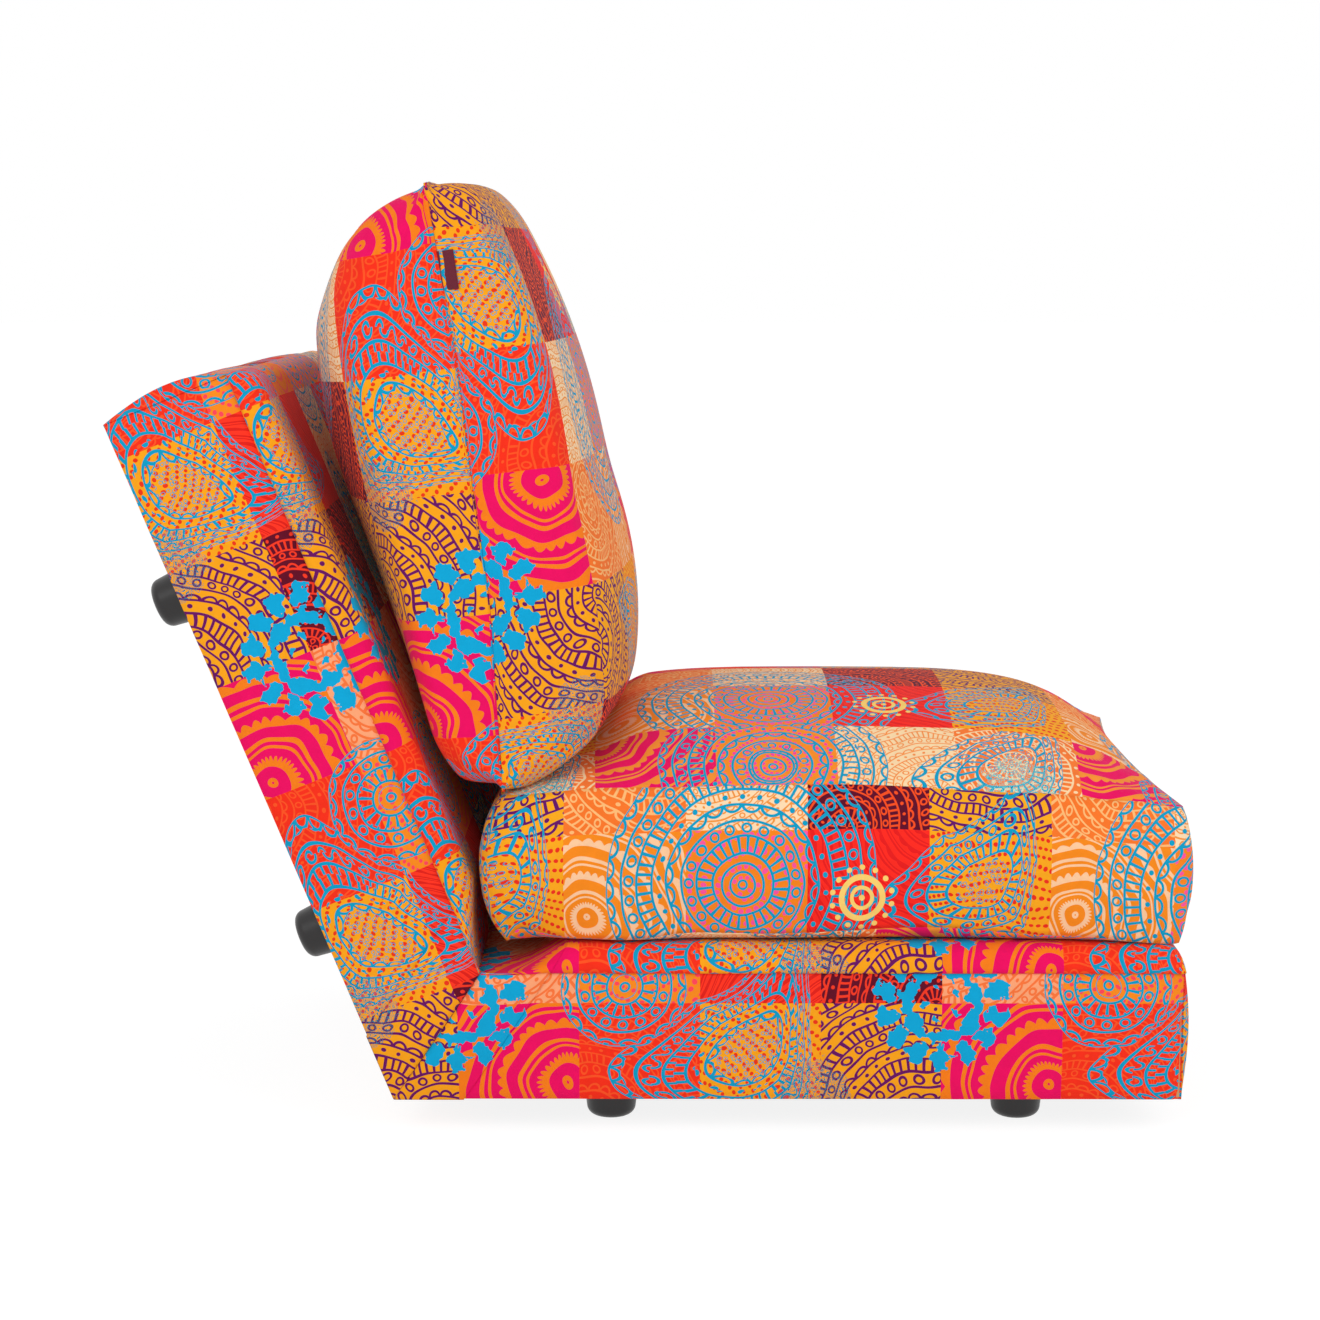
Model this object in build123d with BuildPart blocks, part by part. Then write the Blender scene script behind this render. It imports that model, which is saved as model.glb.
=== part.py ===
from build123d import *
from math import cos, radians, sin, tan
import os

# An armchair that unfolds into a single bed. A base section and a back section, built alike, meet at a
# mitred fold and turn on two ratchet hinges inside it. A loose seat cushion and a loose back cushion lie
# on them. +X points to the front of the seat, +Y across the chair and +Z up. The origin is on the floor,
# midway along and across the whole chair. The fold corner is the lower rear edge where the two sections'
# outer faces meet, and most places are measured from it.

# Overall sizes
chair_width = 700.0
base_length = 955.0
back_length = 867.0
back_lean = 22.0
foot_height = 42.0

# Section make-up, measured from the outer face of a section inwards
cloth = 2.0
strip_height = 142.0
pad_height = 46.0
rail_height = 100.0
rail_board = 20.0
slat_thickness = 10.0
slat_width = 62.0
slat_pitch = 112.0
pad_edge_radius = 40.0
cross_board = 20.0
cross_board_width = 76.0
fold_rail_setback = 222.0
fold_clearance = 0.5
touch_clearance = 0.3

# Feet and their screws
foot_radius = 33.0
foot_base_radius = 29.0
foot_flange = 7.0
foot_edge_round = 12.0
foot_inset = 78.0
foot_from_fold_on_base = 262.0
foot_from_front_on_base = 191.0
foot_from_fold_on_back = 214.0
foot_from_top_on_back = 210.0
screw_radius = 2.6
screw_head_radius = 5.5
screw_head_height = 3.0
screw_seat_depth = 14.0
screw_bite = 16.0

# Ratchet hinges
pivot_reach = 40.0
cheek_thickness = 3.0
plate_thickness = 6.0
plate_clearance = 0.4
hub_radius = 28.0
ratchet_tip_radius = 22.0
ratchet_tooth_depth = 3.0
ratchet_teeth = 24
ratchet_running_gap = 0.6
arm_end_radius = 15.0
arm_reach = 190.0
arm_depth = 50.0
pin_radius = 6.0
pin_running_gap = 0.05
pin_head_radius = 10.0
pin_head_height = 3.0
bolt_radius = 3.0
bolt_head_radius = 6.0
bolt_head_height = 4.0
bolt_end_cover = 2.0
bolt_reaches = (112.0, 150.0, 188.0)
pawl_reach = 46.0
pawl_tip_turn = 50.0
pawl_hub_radius = 8.0
pawl_tip_radius = 2.0
pawl_room = 0.5
pawl_pin_radius = 3.0
pawl_pin_head_radius = 6.0
pawl_pin_head_height = 2.0

# Seat cushion, between its seams; the inset is from the chair's sides
seat_setback = 134.0
seat_length = 816.0
seat_seam_inset = 10.0
gusset_height = 170.0
seat_crown = 100.0
seat_side_rise = 26.0
seat_front_bulge = 18.0
seat_rear_bulge = 26.0
seat_side_bulge = 10.0

# Back cushion
pillow_side_inset = 2.0
pillow_height = 722.0
pillow_depth = 350.0
pillow_arch = 12.0
pillow_settle = 12.6

# Zip fasteners and the plain tab; the insets are from the chair's sides to the ends of a zip
seat_zip_end_inset = 70.0
pillow_zip_end_inset = 130.0
zip_tape_width = 26.0
zip_tape_thickness = 1.2
zip_tooth_width = 5.0
zip_tooth_thickness = 1.6
zip_tooth_pitch = 4.0
slider_length = 12.0
slider_width = 10.0
slider_wall = 1.2
slider_gap = 0.4
lug_reach = 2.4
lug_width = 3.0
pull_length = 26.0
pull_width = 7.0
pull_thickness = 1.4
pull_clearance = 0.2
zip_pocket_width = 16.0
zip_pocket_depth = 6.0
tab_length = 46.0
tab_width = 19.0
tab_thickness = 1.2

# Derived sizes
section_depth = strip_height + pad_height
fold_angle = (90.0 + back_lean) / 2
pivot_along = pivot_reach * cos(radians(fold_angle))
pivot_deep = pivot_reach * sin(radians(fold_angle))
pawl_pivot = (pivot_along + pawl_reach, pivot_deep)
pawl_tip_reach = ratchet_tip_radius + ratchet_running_gap + pawl_tip_radius
pawl_tip = (
    pivot_along + pawl_tip_reach * cos(radians(pawl_tip_turn)),
    pivot_deep + pawl_tip_reach * sin(radians(pawl_tip_turn)),
)
rear_reach = back_length * sin(radians(back_lean))
front_reach = seat_setback + seat_length + seat_front_bulge
fold_x = (rear_reach - front_reach) / 2
base_top = foot_height + section_depth
rail_face = chair_width / 2 - cloth - rail_board
fork_thickness = 2 * cheek_thickness + plate_thickness + 2 * plate_clearance
foot_y = chair_width / 2 - foot_inset
seat_seam_width = chair_width - 2 * seat_seam_inset
pillow_width = chair_width - 2 * pillow_side_inset
seat_zip_length = chair_width - 2 * seat_zip_end_inset
pillow_zip_length = chair_width - 2 * pillow_zip_end_inset
slat_depth = cloth + rail_height + slat_thickness / 2
foam_depth = cloth + rail_height + slat_thickness
SIDES = (("right", -1), ("left", 1))

os.makedirs("parts", exist_ok=True)


def save(block, name):
    """Label a finished piece and write it."""
    block.part.label = name
    export_step(block.part, f"parts/{name}.step")


def mitre(depth, inset=0.0):
    """Length along a section at which the mitred fold lies, for a depth from the outer face."""
    return depth / tan(radians(fold_angle)) + inset / sin(radians(fold_angle))


class Section:
    """An upholstered section: its length runs along, and its depth inwards from the outer face."""

    def __init__(self, name, length, along, inward, feet):
        self.name = name
        self.length = length
        self.along = Vector(*along)
        self.inward = Vector(*inward)
        self.feet = feet
        self.corner = Vector(fold_x, 0, foot_height)

    def side(self, y=0.0):
        """Plane across the chair, with its first axis along the section and its second inwards."""
        return Plane(
            origin=self.corner + Vector(0, y, 0),
            x_dir=self.along,
            z_dir=self.along.cross(self.inward),
        )

    def face(self, depth=0.0):
        """Plane parallel to the outer face at a depth, facing inwards."""
        return Plane(origin=self.corner + self.inward * depth, x_dir=self.along, z_dir=self.inward)

    def point(self, along, deep, y=0.0):
        """A place in the chair from a length along the section and a depth."""
        return self.corner + self.along * along + self.inward * deep + Vector(0, y, 0)


lean_sin = sin(radians(back_lean))
lean_cos = cos(radians(back_lean))
base = Section(
    "base",
    base_length,
    (1, 0, 0),
    (0, 0, 1),
    {"rear": foot_from_fold_on_base, "front": base_length - foot_from_front_on_base},
)
back = Section(
    "back",
    back_length,
    (-lean_sin, 0, lean_cos),
    (lean_cos, 0, lean_sin),
    {"lower": foot_from_fold_on_back, "upper": back_length - foot_from_top_on_back},
)


# Boards of a section: side rails, cross rails, feet boards and slats


def fold_end_outline(low, high, end):
    """Outline of a flat board or strip whose fold end is square below the pivot and mitred above."""
    square = pivot_along + fold_clearance
    return (
        (square, low),
        (end, low),
        (end, high),
        (mitre(high, fold_clearance), high),
        (square, (square - mitre(0, fold_clearance)) * tan(radians(fold_angle))),
    )


def make_side_rails(section):
    """Two boards on edge, bored for the hinge bolts."""
    end = section.length - cloth
    for side_name, side in SIDES:
        y = side * (rail_face + rail_board / 2)
        with BuildPart() as rail:
            with BuildSketch(section.side(y)):
                with BuildLine():
                    Polyline(*fold_end_outline(cloth, cloth + rail_height, end), close=True)
                make_face()
            extrude(amount=rail_board / 2, both=True)
            with BuildSketch(section.side(y)):
                with Locations(*[(reach, arm_depth) for reach in bolt_reaches]):
                    Circle(bolt_radius)
            extrude(amount=rail_board, both=True, mode=Mode.SUBTRACT)
        save(rail, f"{section.name}_rail_{side_name}")


def make_cross_rails(section):
    """The end rail, and the rail beside the fold, between the side rails."""
    end_place = section.length - cloth - rail_board / 2
    for rail_name, place in (("end", end_place), ("fold", fold_rail_setback)):
        bottom = cloth if rail_name == "end" else cloth + cross_board
        with BuildPart() as rail:
            with BuildSketch(section.side()):
                with Locations((place, (bottom + cloth + rail_height) / 2)):
                    Rectangle(rail_board, cloth + rail_height - bottom)
            extrude(amount=rail_face, both=True)
        save(rail, f"{section.name}_rail_{rail_name}")


def make_foot_boards(section):
    """Flat boards across the section that the feet screw into."""
    for row, place in section.feet.items():
        with BuildPart() as board:
            with BuildSketch(section.face(cloth)):
                with Locations((place, 0)):
                    Rectangle(cross_board_width, 2 * rail_face)
            extrude(amount=cross_board)
            with BuildSketch(section.face(cloth)):
                with Locations((place, foot_y), (place, -foot_y)):
                    Circle(screw_radius)
            extrude(amount=screw_bite, mode=Mode.SUBTRACT)
        save(board, f"{section.name}_foot_board_{row}")


def make_slats(section):
    """Slats laid across the side rails, evenly spaced from the end rail to the fold."""
    last = section.length - cloth - slat_width / 2
    room = last - mitre(foam_depth, fold_clearance + cloth) - slat_width / 2
    count = int(room // slat_pitch) + 1
    with BuildPart() as slats:
        with BuildSketch(section.side()):
            with Locations(*[(last - step * slat_pitch, slat_depth) for step in range(count)]):
                Rectangle(slat_width, slat_thickness)
        extrude(amount=chair_width / 2 - cloth, both=True)
    save(slats, f"{section.name}_slats")


# Foam, cover and feet of a section


def pad_block(section, low, inset):
    """Mitred pad with its long edges and its end edge rounded, drawn in by an inset."""
    top = section_depth - inset
    end = section.length - inset
    clear = fold_clearance + inset
    with BuildPart() as pad:
        with BuildSketch(section.side()):
            with BuildLine():
                Polyline(
                    (mitre(low, clear), low),
                    (end, low),
                    (end, top),
                    (mitre(top, clear), top),
                    close=True,
                )
            make_face()
        extrude(amount=chair_width / 2 - inset, both=True)
        reach = Axis(section.point(0, 0), section.inward)
        upper = pad.faces().sort_by(reach)[-1]
        fold_edge = upper.edges().sort_by(Axis(section.point(0, 0), section.along))[0]
        fillet(upper.edges() - ShapeList([fold_edge]), pad_edge_radius - inset)
    return pad


def make_pad(section):
    """Foam pad on the slats and the top panel of the cover over it."""
    foam = pad_block(section, foam_depth, cloth)
    save(foam, f"{section.name}_foam")
    inner = pad_block(section, strip_height, cloth)
    outer = pad_block(section, strip_height, 0.0)
    with BuildPart() as panel:
        add(outer.part)
        add(inner.part, mode=Mode.SUBTRACT)
    save(panel, f"{section.name}_cover_top")


def make_strips(section):
    """Side strips, end strip and underside of the cover."""
    end = section.length - cloth
    for side_name, side in SIDES:
        y = side * (chair_width - cloth) / 2
        with BuildPart() as strip:
            with BuildSketch(section.side(y)):
                with BuildLine():
                    Polyline(*fold_end_outline(0, strip_height, end), close=True)
                make_face()
            extrude(amount=cloth / 2, both=True)
        save(strip, f"{section.name}_cover_strip_{side_name}")
    with BuildPart() as end_strip:
        with BuildSketch(section.side()):
            with Locations((section.length - cloth / 2, strip_height / 2)):
                Rectangle(cloth, strip_height)
        extrude(amount=chair_width / 2, both=True)
    save(end_strip, f"{section.name}_cover_strip_end")
    start = pivot_along + fold_clearance
    with BuildPart() as under:
        with BuildSketch(section.face()):
            with Locations(((start + end) / 2, 0)):
                Rectangle(end - start, chair_width - 2 * cloth)
            with Locations(*[(u, y) for u in section.feet.values() for y in (foot_y, -foot_y)]):
                Circle(screw_radius, mode=Mode.SUBTRACT)
        extrude(amount=cloth)
    save(under, f"{section.name}_cover_under")


def make_feet(section):
    """Moulded glides with a rounded lower edge, each with a sunk screw."""
    for row, place in section.feet.items():
        for side_name, side in SIDES:
            axis = Axis(section.point(place, 0, side * foot_y), section.inward)
            with BuildPart() as foot:
                with BuildSketch(section.side(side * foot_y)) as outline:
                    with BuildLine():
                        Polyline(
                            (place + screw_radius, 0),
                            (place + foot_radius, 0),
                            (place + foot_radius, -foot_flange),
                            (place + foot_base_radius, -foot_height),
                            (place + screw_head_radius, -foot_height),
                            (place + screw_head_radius, -screw_seat_depth),
                            (place + screw_radius, -screw_seat_depth),
                            close=True,
                        )
                    make_face()
                    rim = outline.vertices().sort_by(Axis.Y)[0:2]
                    fillet(rim.sort_by(Axis.X)[-1], foot_edge_round)
                revolve(axis=axis)
            save(foot, f"{section.name}_foot_{row}_{side_name}")
    with BuildPart() as screws:
        for place in section.feet.values():
            for side in (-1, 1):
                spot = Plane(
                    origin=section.point(place, -screw_seat_depth, side * foot_y),
                    x_dir=section.along,
                    z_dir=section.inward,
                )
                with BuildSketch(spot):
                    Circle(screw_radius)
                extrude(amount=screw_seat_depth + cloth + screw_bite)
                with BuildSketch(spot):
                    Circle(screw_head_radius)
                extrude(amount=-screw_head_height)
    save(screws, f"{section.name}_foot_screws")


# Ratchet hinges: a fork on the base, a toothed plate on the back and a riveted pin


def arm_outline(inner_radius):
    """Tapering arm from the pivot to its last bolt, drawn in a section's side plane."""
    with Locations((pivot_along, pivot_deep)):
        Circle(inner_radius)
    with Locations((arm_reach, arm_depth)):
        Circle(arm_end_radius)
    make_hull()


def arm_bolt_holes():
    """Bolt holes along an arm, cut from the sketch that is open."""
    with Locations(*[(reach, arm_depth) for reach in bolt_reaches]):
        Circle(bolt_radius, mode=Mode.SUBTRACT)


def ratchet_rim():
    """Corners of the ratchet wheel round the pivot: each tooth has a steep face and a long back."""
    corners = []
    for tooth in range(ratchet_teeth):
        angle = radians(360.0 * tooth / ratchet_teeth)
        tip = (cos(angle) * ratchet_tip_radius, sin(angle) * ratchet_tip_radius)
        root_radius = ratchet_tip_radius - ratchet_tooth_depth
        root = (cos(angle) * root_radius, sin(angle) * root_radius)
        corners.append((pivot_along + root[0], pivot_deep + root[1]))
        corners.append((pivot_along + tip[0], pivot_deep + tip[1]))
    return corners


def pawl_outline(hub_room, tip_room):
    """Pawl from its pin to its tip over the teeth, with room round it, drawn in the base's side plane."""
    with Locations(pawl_pivot):
        Circle(pawl_hub_radius + hub_room)
    with Locations(pawl_tip):
        Circle(pawl_tip_radius + tip_room)
    make_hull()


def make_hinge(side_name, side):
    """One ratchet hinge, against the inner faces of the side rails."""
    inward = Vector(0, -side, 0)
    outer_cheek_y = side * (rail_face - cheek_thickness / 2)
    plate_y = side * (rail_face - fork_thickness / 2)
    inner_cheek_y = side * (rail_face - fork_thickness + cheek_thickness / 2)
    with BuildPart() as fork:
        for y in (outer_cheek_y, inner_cheek_y):
            with BuildSketch(base.side(y)):
                arm_outline(hub_radius)
                arm_bolt_holes()
                with Locations((pivot_along, pivot_deep)):
                    Circle(pin_radius, mode=Mode.SUBTRACT)
            extrude(amount=cheek_thickness / 2, both=True)
        with BuildSketch(base.side(plate_y)):
            arm_outline(hub_radius)
            arm_bolt_holes()
            with Locations((pivot_along, pivot_deep)):
                Circle(ratchet_tip_radius + ratchet_running_gap, mode=Mode.SUBTRACT)
            with Locations((pivot_along - hub_radius, pivot_deep)):
                Rectangle(2 * hub_radius, 4 * hub_radius, mode=Mode.SUBTRACT)
            with Locations((pivot_along, pivot_deep + 2 * hub_radius)):
                Rectangle(2 * arm_end_radius, 4 * hub_radius, mode=Mode.SUBTRACT)
        extrude(amount=plate_thickness / 2 + plate_clearance, both=True)
        with BuildSketch(base.side(plate_y)):
            pawl_outline(pawl_room, ratchet_tooth_depth)
            with Locations(pawl_pivot):
                Circle(pawl_pin_radius, mode=Mode.SUBTRACT)
        extrude(amount=plate_thickness / 2 + plate_clearance, both=True, mode=Mode.SUBTRACT)
        pawl_head = base.point(*pawl_pivot, side * (rail_face - fork_thickness))
        with BuildSketch(Plane(origin=pawl_head, z_dir=inward)):
            Circle(pawl_pin_head_radius)
        extrude(amount=pawl_pin_head_height)
    save(fork, f"hinge_fork_{side_name}")

    pad_thickness = cheek_thickness + plate_clearance
    with BuildPart() as plate:
        with BuildSketch(back.side(plate_y)):
            with BuildLine():
                Polyline(*ratchet_rim(), close=True)
            make_face()
            with Locations((pivot_along, pivot_deep)):
                Circle(arm_end_radius)
            with Locations((arm_reach, arm_depth)):
                Circle(arm_end_radius)
            with BuildLine():
                Polyline(
                    (pivot_along, pivot_deep - arm_end_radius),
                    (arm_reach, arm_depth - arm_end_radius),
                    (arm_reach, arm_depth + arm_end_radius),
                    (pivot_along, pivot_deep + arm_end_radius),
                    close=True,
                )
            make_face()
            arm_bolt_holes()
            with Locations((pivot_along, pivot_deep)):
                Circle(pin_radius + pin_running_gap, mode=Mode.SUBTRACT)
        extrude(amount=plate_thickness / 2, both=True)
        with BuildSketch(back.side(side * (rail_face - pad_thickness / 2))):
            with Locations(((bolt_reaches[0] + arm_reach) / 2, arm_depth)):
                SlotCenterToCenter(arm_reach - bolt_reaches[0], 2 * arm_end_radius)
            arm_bolt_holes()
        extrude(amount=pad_thickness / 2, both=True)
    save(plate, f"hinge_plate_{side_name}")

    pivot = base.point(pivot_along, pivot_deep)
    with BuildPart() as pin:
        with BuildSketch(Plane(origin=pivot + Vector(0, side * rail_face, 0), z_dir=inward)):
            Circle(pin_radius)
        extrude(amount=fork_thickness)
        head_y = side * (rail_face - fork_thickness)
        with BuildSketch(Plane(origin=pivot + Vector(0, head_y, 0), z_dir=inward)):
            Circle(pin_head_radius)
        extrude(amount=pin_head_height)
        fillet(pin.edges().sort_by(Axis.Y)[-1 if side < 0 else 0], pin_head_height / 2)
    save(pin, f"hinge_pin_{side_name}")


def make_hinge_pawls():
    """Both pawls, each on its pin between the cheeks, with its tip lifted just clear of the teeth."""
    with BuildPart() as pawls:
        for side in (-1, 1):
            with BuildSketch(base.side(side * (rail_face - fork_thickness / 2))):
                pawl_outline(0, 0)
                with Locations(pawl_pivot):
                    Circle(pawl_pin_radius + pin_running_gap, mode=Mode.SUBTRACT)
            extrude(amount=plate_thickness / 2, both=True)
    save(pawls, "hinge_pawls")


def make_hinge_bolts(section, head_depth):
    """Hexagon bolts of both arms on one section, with their heads inside and ends in the rails."""
    shank = head_depth + rail_board - bolt_end_cover
    with BuildPart() as bolts:
        for side in (-1, 1):
            for reach in bolt_reaches:
                seat = section.point(reach, arm_depth, side * (rail_face - head_depth))
                outward = Plane(origin=seat, x_dir=section.along, z_dir=(0, side, 0))
                with BuildSketch(outward):
                    Circle(bolt_radius)
                extrude(amount=shank)
                with BuildSketch(outward):
                    RegularPolygon(bolt_head_radius, 6)
                extrude(amount=-bolt_head_height)
    save(bolts, f"{section.name}_hinge_bolts")


def make_fold_cover():
    """Cloth round the fold corner, with its two sides closed by kites below the pivot."""
    reach = pivot_along
    kite = (
        (0, 0),
        (reach, 0),
        (pivot_along, pivot_deep),
        tuple(base.side().to_local_coords(back.point(reach, 0)))[0:2],
    )
    inner_corner = (mitre(cloth), cloth)
    under_end = (reach, cloth)
    rear_end = tuple(base.side().to_local_coords(back.point(reach, cloth)))[0:2]
    with BuildPart() as wrap:
        with BuildSketch(base.side()):
            with BuildLine():
                Polyline(kite[0], kite[1], under_end, inner_corner, rear_end, kite[3], close=True)
            make_face()
        extrude(amount=chair_width / 2, both=True)
        for side in (-1, 1):
            with BuildSketch(base.side(side * (chair_width - cloth) / 2)):
                with BuildLine():
                    Polyline(*kite, close=True)
                make_face()
            extrude(amount=cloth / 2, both=True)
    save(wrap, "fold_cover")


# Seat cushion: a foam and fibre core in a cover of top panel, gusset and bottom panel

seat_floor = base_top + touch_clearance
seat_rear_x = fold_x + seat_setback
seat_middle_x = seat_rear_x + seat_length / 2
# Stations across the seat cushion: share of its half width, and of the rise from the sides to the crown
crown_station_shares = (
    (-1.0, 0.0),
    (-0.72, 0.65),
    (-0.32, 0.96),
    (0.32, 0.96),
    (0.72, 0.65),
    (1.0, 0.0),
)
rear_shoulder_share = 0.36
front_shoulder_share = 0.24
shoulder_height_share = 0.9


def gusset_outline(height, inset, bulge):
    """Plan outline of the cushion's side at a height: straight at a seam, arched between seams."""
    rear = -seat_length / 2 + inset - bulge * seat_rear_bulge
    front = seat_length / 2 - inset + bulge * seat_front_bulge
    half = seat_seam_width / 2 - inset
    with BuildSketch(Plane((seat_middle_x, 0, seat_floor + height))) as outline:
        with BuildLine():
            Line((rear, -half), (rear, half))
            Line((front, half), (front, -half))
            if bulge:
                SagittaArc((rear, half), (front, half), bulge * seat_side_bulge)
                SagittaArc((front, -half), (rear, -half), bulge * seat_side_bulge)
            else:
                Line((rear, half), (front, half))
                Line((front, -half), (rear, -half))
        make_face()
    return outline.sketch


def crown_outline(across_share, rise_share, inset):
    """Crowned outline of the top, from the rear seam to the front seam, at one station."""
    rise = seat_side_rise + (seat_crown - seat_side_rise) * rise_share
    rear = -seat_length / 2 + inset
    front = seat_length / 2 - inset
    y = across_share * (seat_seam_width / 2 - inset)
    shoulder = (rise - inset) * shoulder_height_share
    rear_shoulder = (rear + seat_length * rear_shoulder_share, shoulder)
    front_shoulder = (front - seat_length * front_shoulder_share, shoulder)
    seam = seat_floor + gusset_height
    with BuildSketch(Plane(origin=(seat_middle_x, y, seam), x_dir=(1, 0, 0), z_dir=(0, -1, 0))) as shape:
        with BuildLine():
            top = SagittaArc(rear_shoulder, front_shoulder, (rise - inset) - shoulder)
            TangentArc(front_shoulder, (front, 0), tangent=top % 1)
            TangentArc(rear_shoulder, (rear, 0), tangent=(top % 0) * -1)
            Line((rear, 0), (front, 0))
        make_face()
    return shape.sketch


def seat_form(inset):
    """The cushion's solid: a bulging gusset under a crowned top."""
    with BuildPart() as gusset:
        loft(
            [
                gusset_outline(inset, inset, 0.0),
                gusset_outline(gusset_height / 2, inset, 1.0),
                gusset_outline(gusset_height, inset, 0.0),
            ]
        )
    with BuildPart() as crown:
        loft([crown_outline(*station, inset) for station in crown_station_shares])
    return gusset, crown


def make_seat_cushion():
    """Core and three cover panels, with the tape of the zip let into the rear of the gusset."""
    gusset, crown = seat_form(0.0)
    inner_gusset, inner_crown = seat_form(cloth)
    with BuildPart() as core:
        add(inner_gusset.part)
        add(inner_crown.part)
    save(core, "seat_core")
    with BuildPart() as top:
        add(crown.part)
        add(inner_crown.part, mode=Mode.SUBTRACT)
    save(top, "seat_cover_top")
    bottom_seam = Plane.XY.offset(seat_floor + cloth)
    with BuildPart() as band:
        add(gusset.part)
        add(inner_gusset.part, mode=Mode.SUBTRACT)
        split(bisect_by=bottom_seam, keep=Keep.TOP)
        with BuildSketch(seat_zip_plane):
            Rectangle(seat_zip_length, zip_tape_width)
        extrude(amount=-zip_tape_thickness, mode=Mode.SUBTRACT)
    save(band, "seat_cover_gusset")
    with BuildPart() as bottom:
        add(gusset.part)
        split(bisect_by=bottom_seam, keep=Keep.BOTTOM)
    save(bottom, "seat_cover_bottom")


# Zip fasteners: a tape with its teeth, a slider over the teeth and a pull on the slider's lug

seat_zip_plane = Plane(
    origin=(seat_rear_x - seat_rear_bulge, 0, seat_floor + gusset_height / 2),
    x_dir=(0, 1, 0),
    z_dir=(-1, 0, 0),
)


def make_zip(name, plane, length, tape_width):
    """A closed zip whose tape lies under the plane, with its slider at the -Y end."""
    pitches = int(length // zip_tooth_pitch) - 2
    with BuildPart() as chain:
        with BuildSketch(plane):
            Rectangle(length, tape_width)
        extrude(amount=-zip_tape_thickness)
        with BuildSketch(plane):
            with GridLocations(zip_tooth_pitch, 0, pitches, 1):
                Rectangle(zip_tooth_pitch / 2, zip_tooth_width)
        extrude(amount=zip_tooth_thickness)
    save(chain, f"{name}_zip")

    rest = slider_length - length / 2
    channel = zip_tooth_width + 2 * slider_gap
    inner_top = zip_tooth_thickness + slider_gap
    slider_top = inner_top + slider_wall
    with BuildPart() as slider:
        with BuildSketch(plane.offset(slider_gap)):
            with Locations((rest, 0)):
                Rectangle(slider_length, slider_width)
        extrude(amount=slider_top - slider_gap)
        with BuildSketch(plane):
            with Locations((rest, 0)):
                Rectangle(2 * slider_length, channel)
        extrude(amount=inner_top, mode=Mode.SUBTRACT)
        fillet(slider.edges().filter_by(Axis(plane.origin, plane.z_dir)), slider_wall / 2)
        with BuildSketch(plane.offset(slider_top)):
            with Locations((rest, 0)):
                Rectangle(lug_width, slider_width / 2)
        extrude(amount=lug_reach)
    save(slider, f"{name}_zip_slider")

    hole = (lug_width + 2 * pull_clearance, slider_width / 2 + 2 * pull_clearance)
    with BuildPart() as pull:
        with BuildSketch(plane.offset(slider_top + pull_clearance)):
            with Locations((rest, pull_width - pull_length / 2)):
                RectangleRounded(pull_width, pull_length, pull_width / 2 - pull_clearance)
            with Locations((rest, 0)):
                Rectangle(*hole, mode=Mode.SUBTRACT)
        extrude(amount=pull_thickness)
    save(pull, f"{name}_zip_pull")


# Back cushion: two crowned panels over a filling, joined by one seam all round

# Places round the outline as shares of the cushion's height up the back and depth from its pad.
# They start at the bottom seam and go round by the rear; the fifth is the top seam.
edge_outline_shares = (
    (0.028, 0.225),
    (0.114, 0.036),
    (0.717, 0.19),
    (0.949, 0.448),
    (0.996, 0.77),
    (0.893, 0.96),
    (0.435, 0.85),
    (0.103, 0.69),
    (0.013, 0.43),
)
middle_outline_shares = (
    (0.028, 0.225),
    (0.168, 0.0),
    (0.717, 0.0),
    (0.949, 0.32),
    (0.996, 0.77),
    (0.893, 0.985),
    (0.435, 0.93),
    (0.103, 0.80),
    (0.02, 0.48),
)
top_seam_place = 4
tab_corner_shares = (0.89, 0.71)
rear_panel_start = 1
arch_shares = (0.7, 0.0, 1.6, 1.2, 1.0, 1.4, 0.6, 1.2, 0.9)
# Stations across the cushion: share of its half width, fullness and drawing in
pillow_station_shares = (
    (-1.0, 0.0, 0.14),
    (-0.93, 0.0, 0.03),
    (-0.7, 0.4, 0.0),
    (0.0, 1.0, 0.0),
    (0.7, 0.4, 0.0),
    (0.93, 0.0, 0.03),
    (1.0, 0.0, 0.14),
)
pillow_rear = section_depth + touch_clearance
pillow_low_height = section_depth + gusset_height + seat_crown / 2 - pillow_settle
pillow_low = (pillow_low_height - (pillow_rear + pillow_depth / 2) * lean_sin) / lean_cos


def pillow_place(share, inset=0.0, drawn=0.0):
    """Place in the back's side plane of a pair of shares, drawn in towards the cushion's middle."""
    up = (share[0] - 0.5) * pillow_height
    deep = (share[1] - 0.5) * pillow_depth
    size = (up * up + deep * deep) ** 0.5
    kept = (1 - drawn) * (1 - inset / size)
    return (
        pillow_low + pillow_height / 2 + up * kept,
        pillow_rear + pillow_depth / 2 + deep * kept,
    )


def pillow_outline(station, inset):
    """Side outline of the cushion at one station across it."""
    across, fullness, drawn = station
    y = across * (pillow_width / 2 - inset)
    places = []
    for edge, middle in zip(edge_outline_shares, middle_outline_shares):
        share = [e + (m - e) * fullness for e, m in zip(edge, middle)]
        places.append(pillow_place(share, inset, drawn))
    with BuildSketch(back.side(y)) as outline:
        with BuildLine():
            for index, start in enumerate(places):
                end = places[(index + 1) % len(places)]
                if index == rear_panel_start:
                    Line(start, end)
                else:
                    SagittaArc(start, end, -pillow_arch * arch_shares[index])
        make_face()
    return outline.sketch


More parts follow.
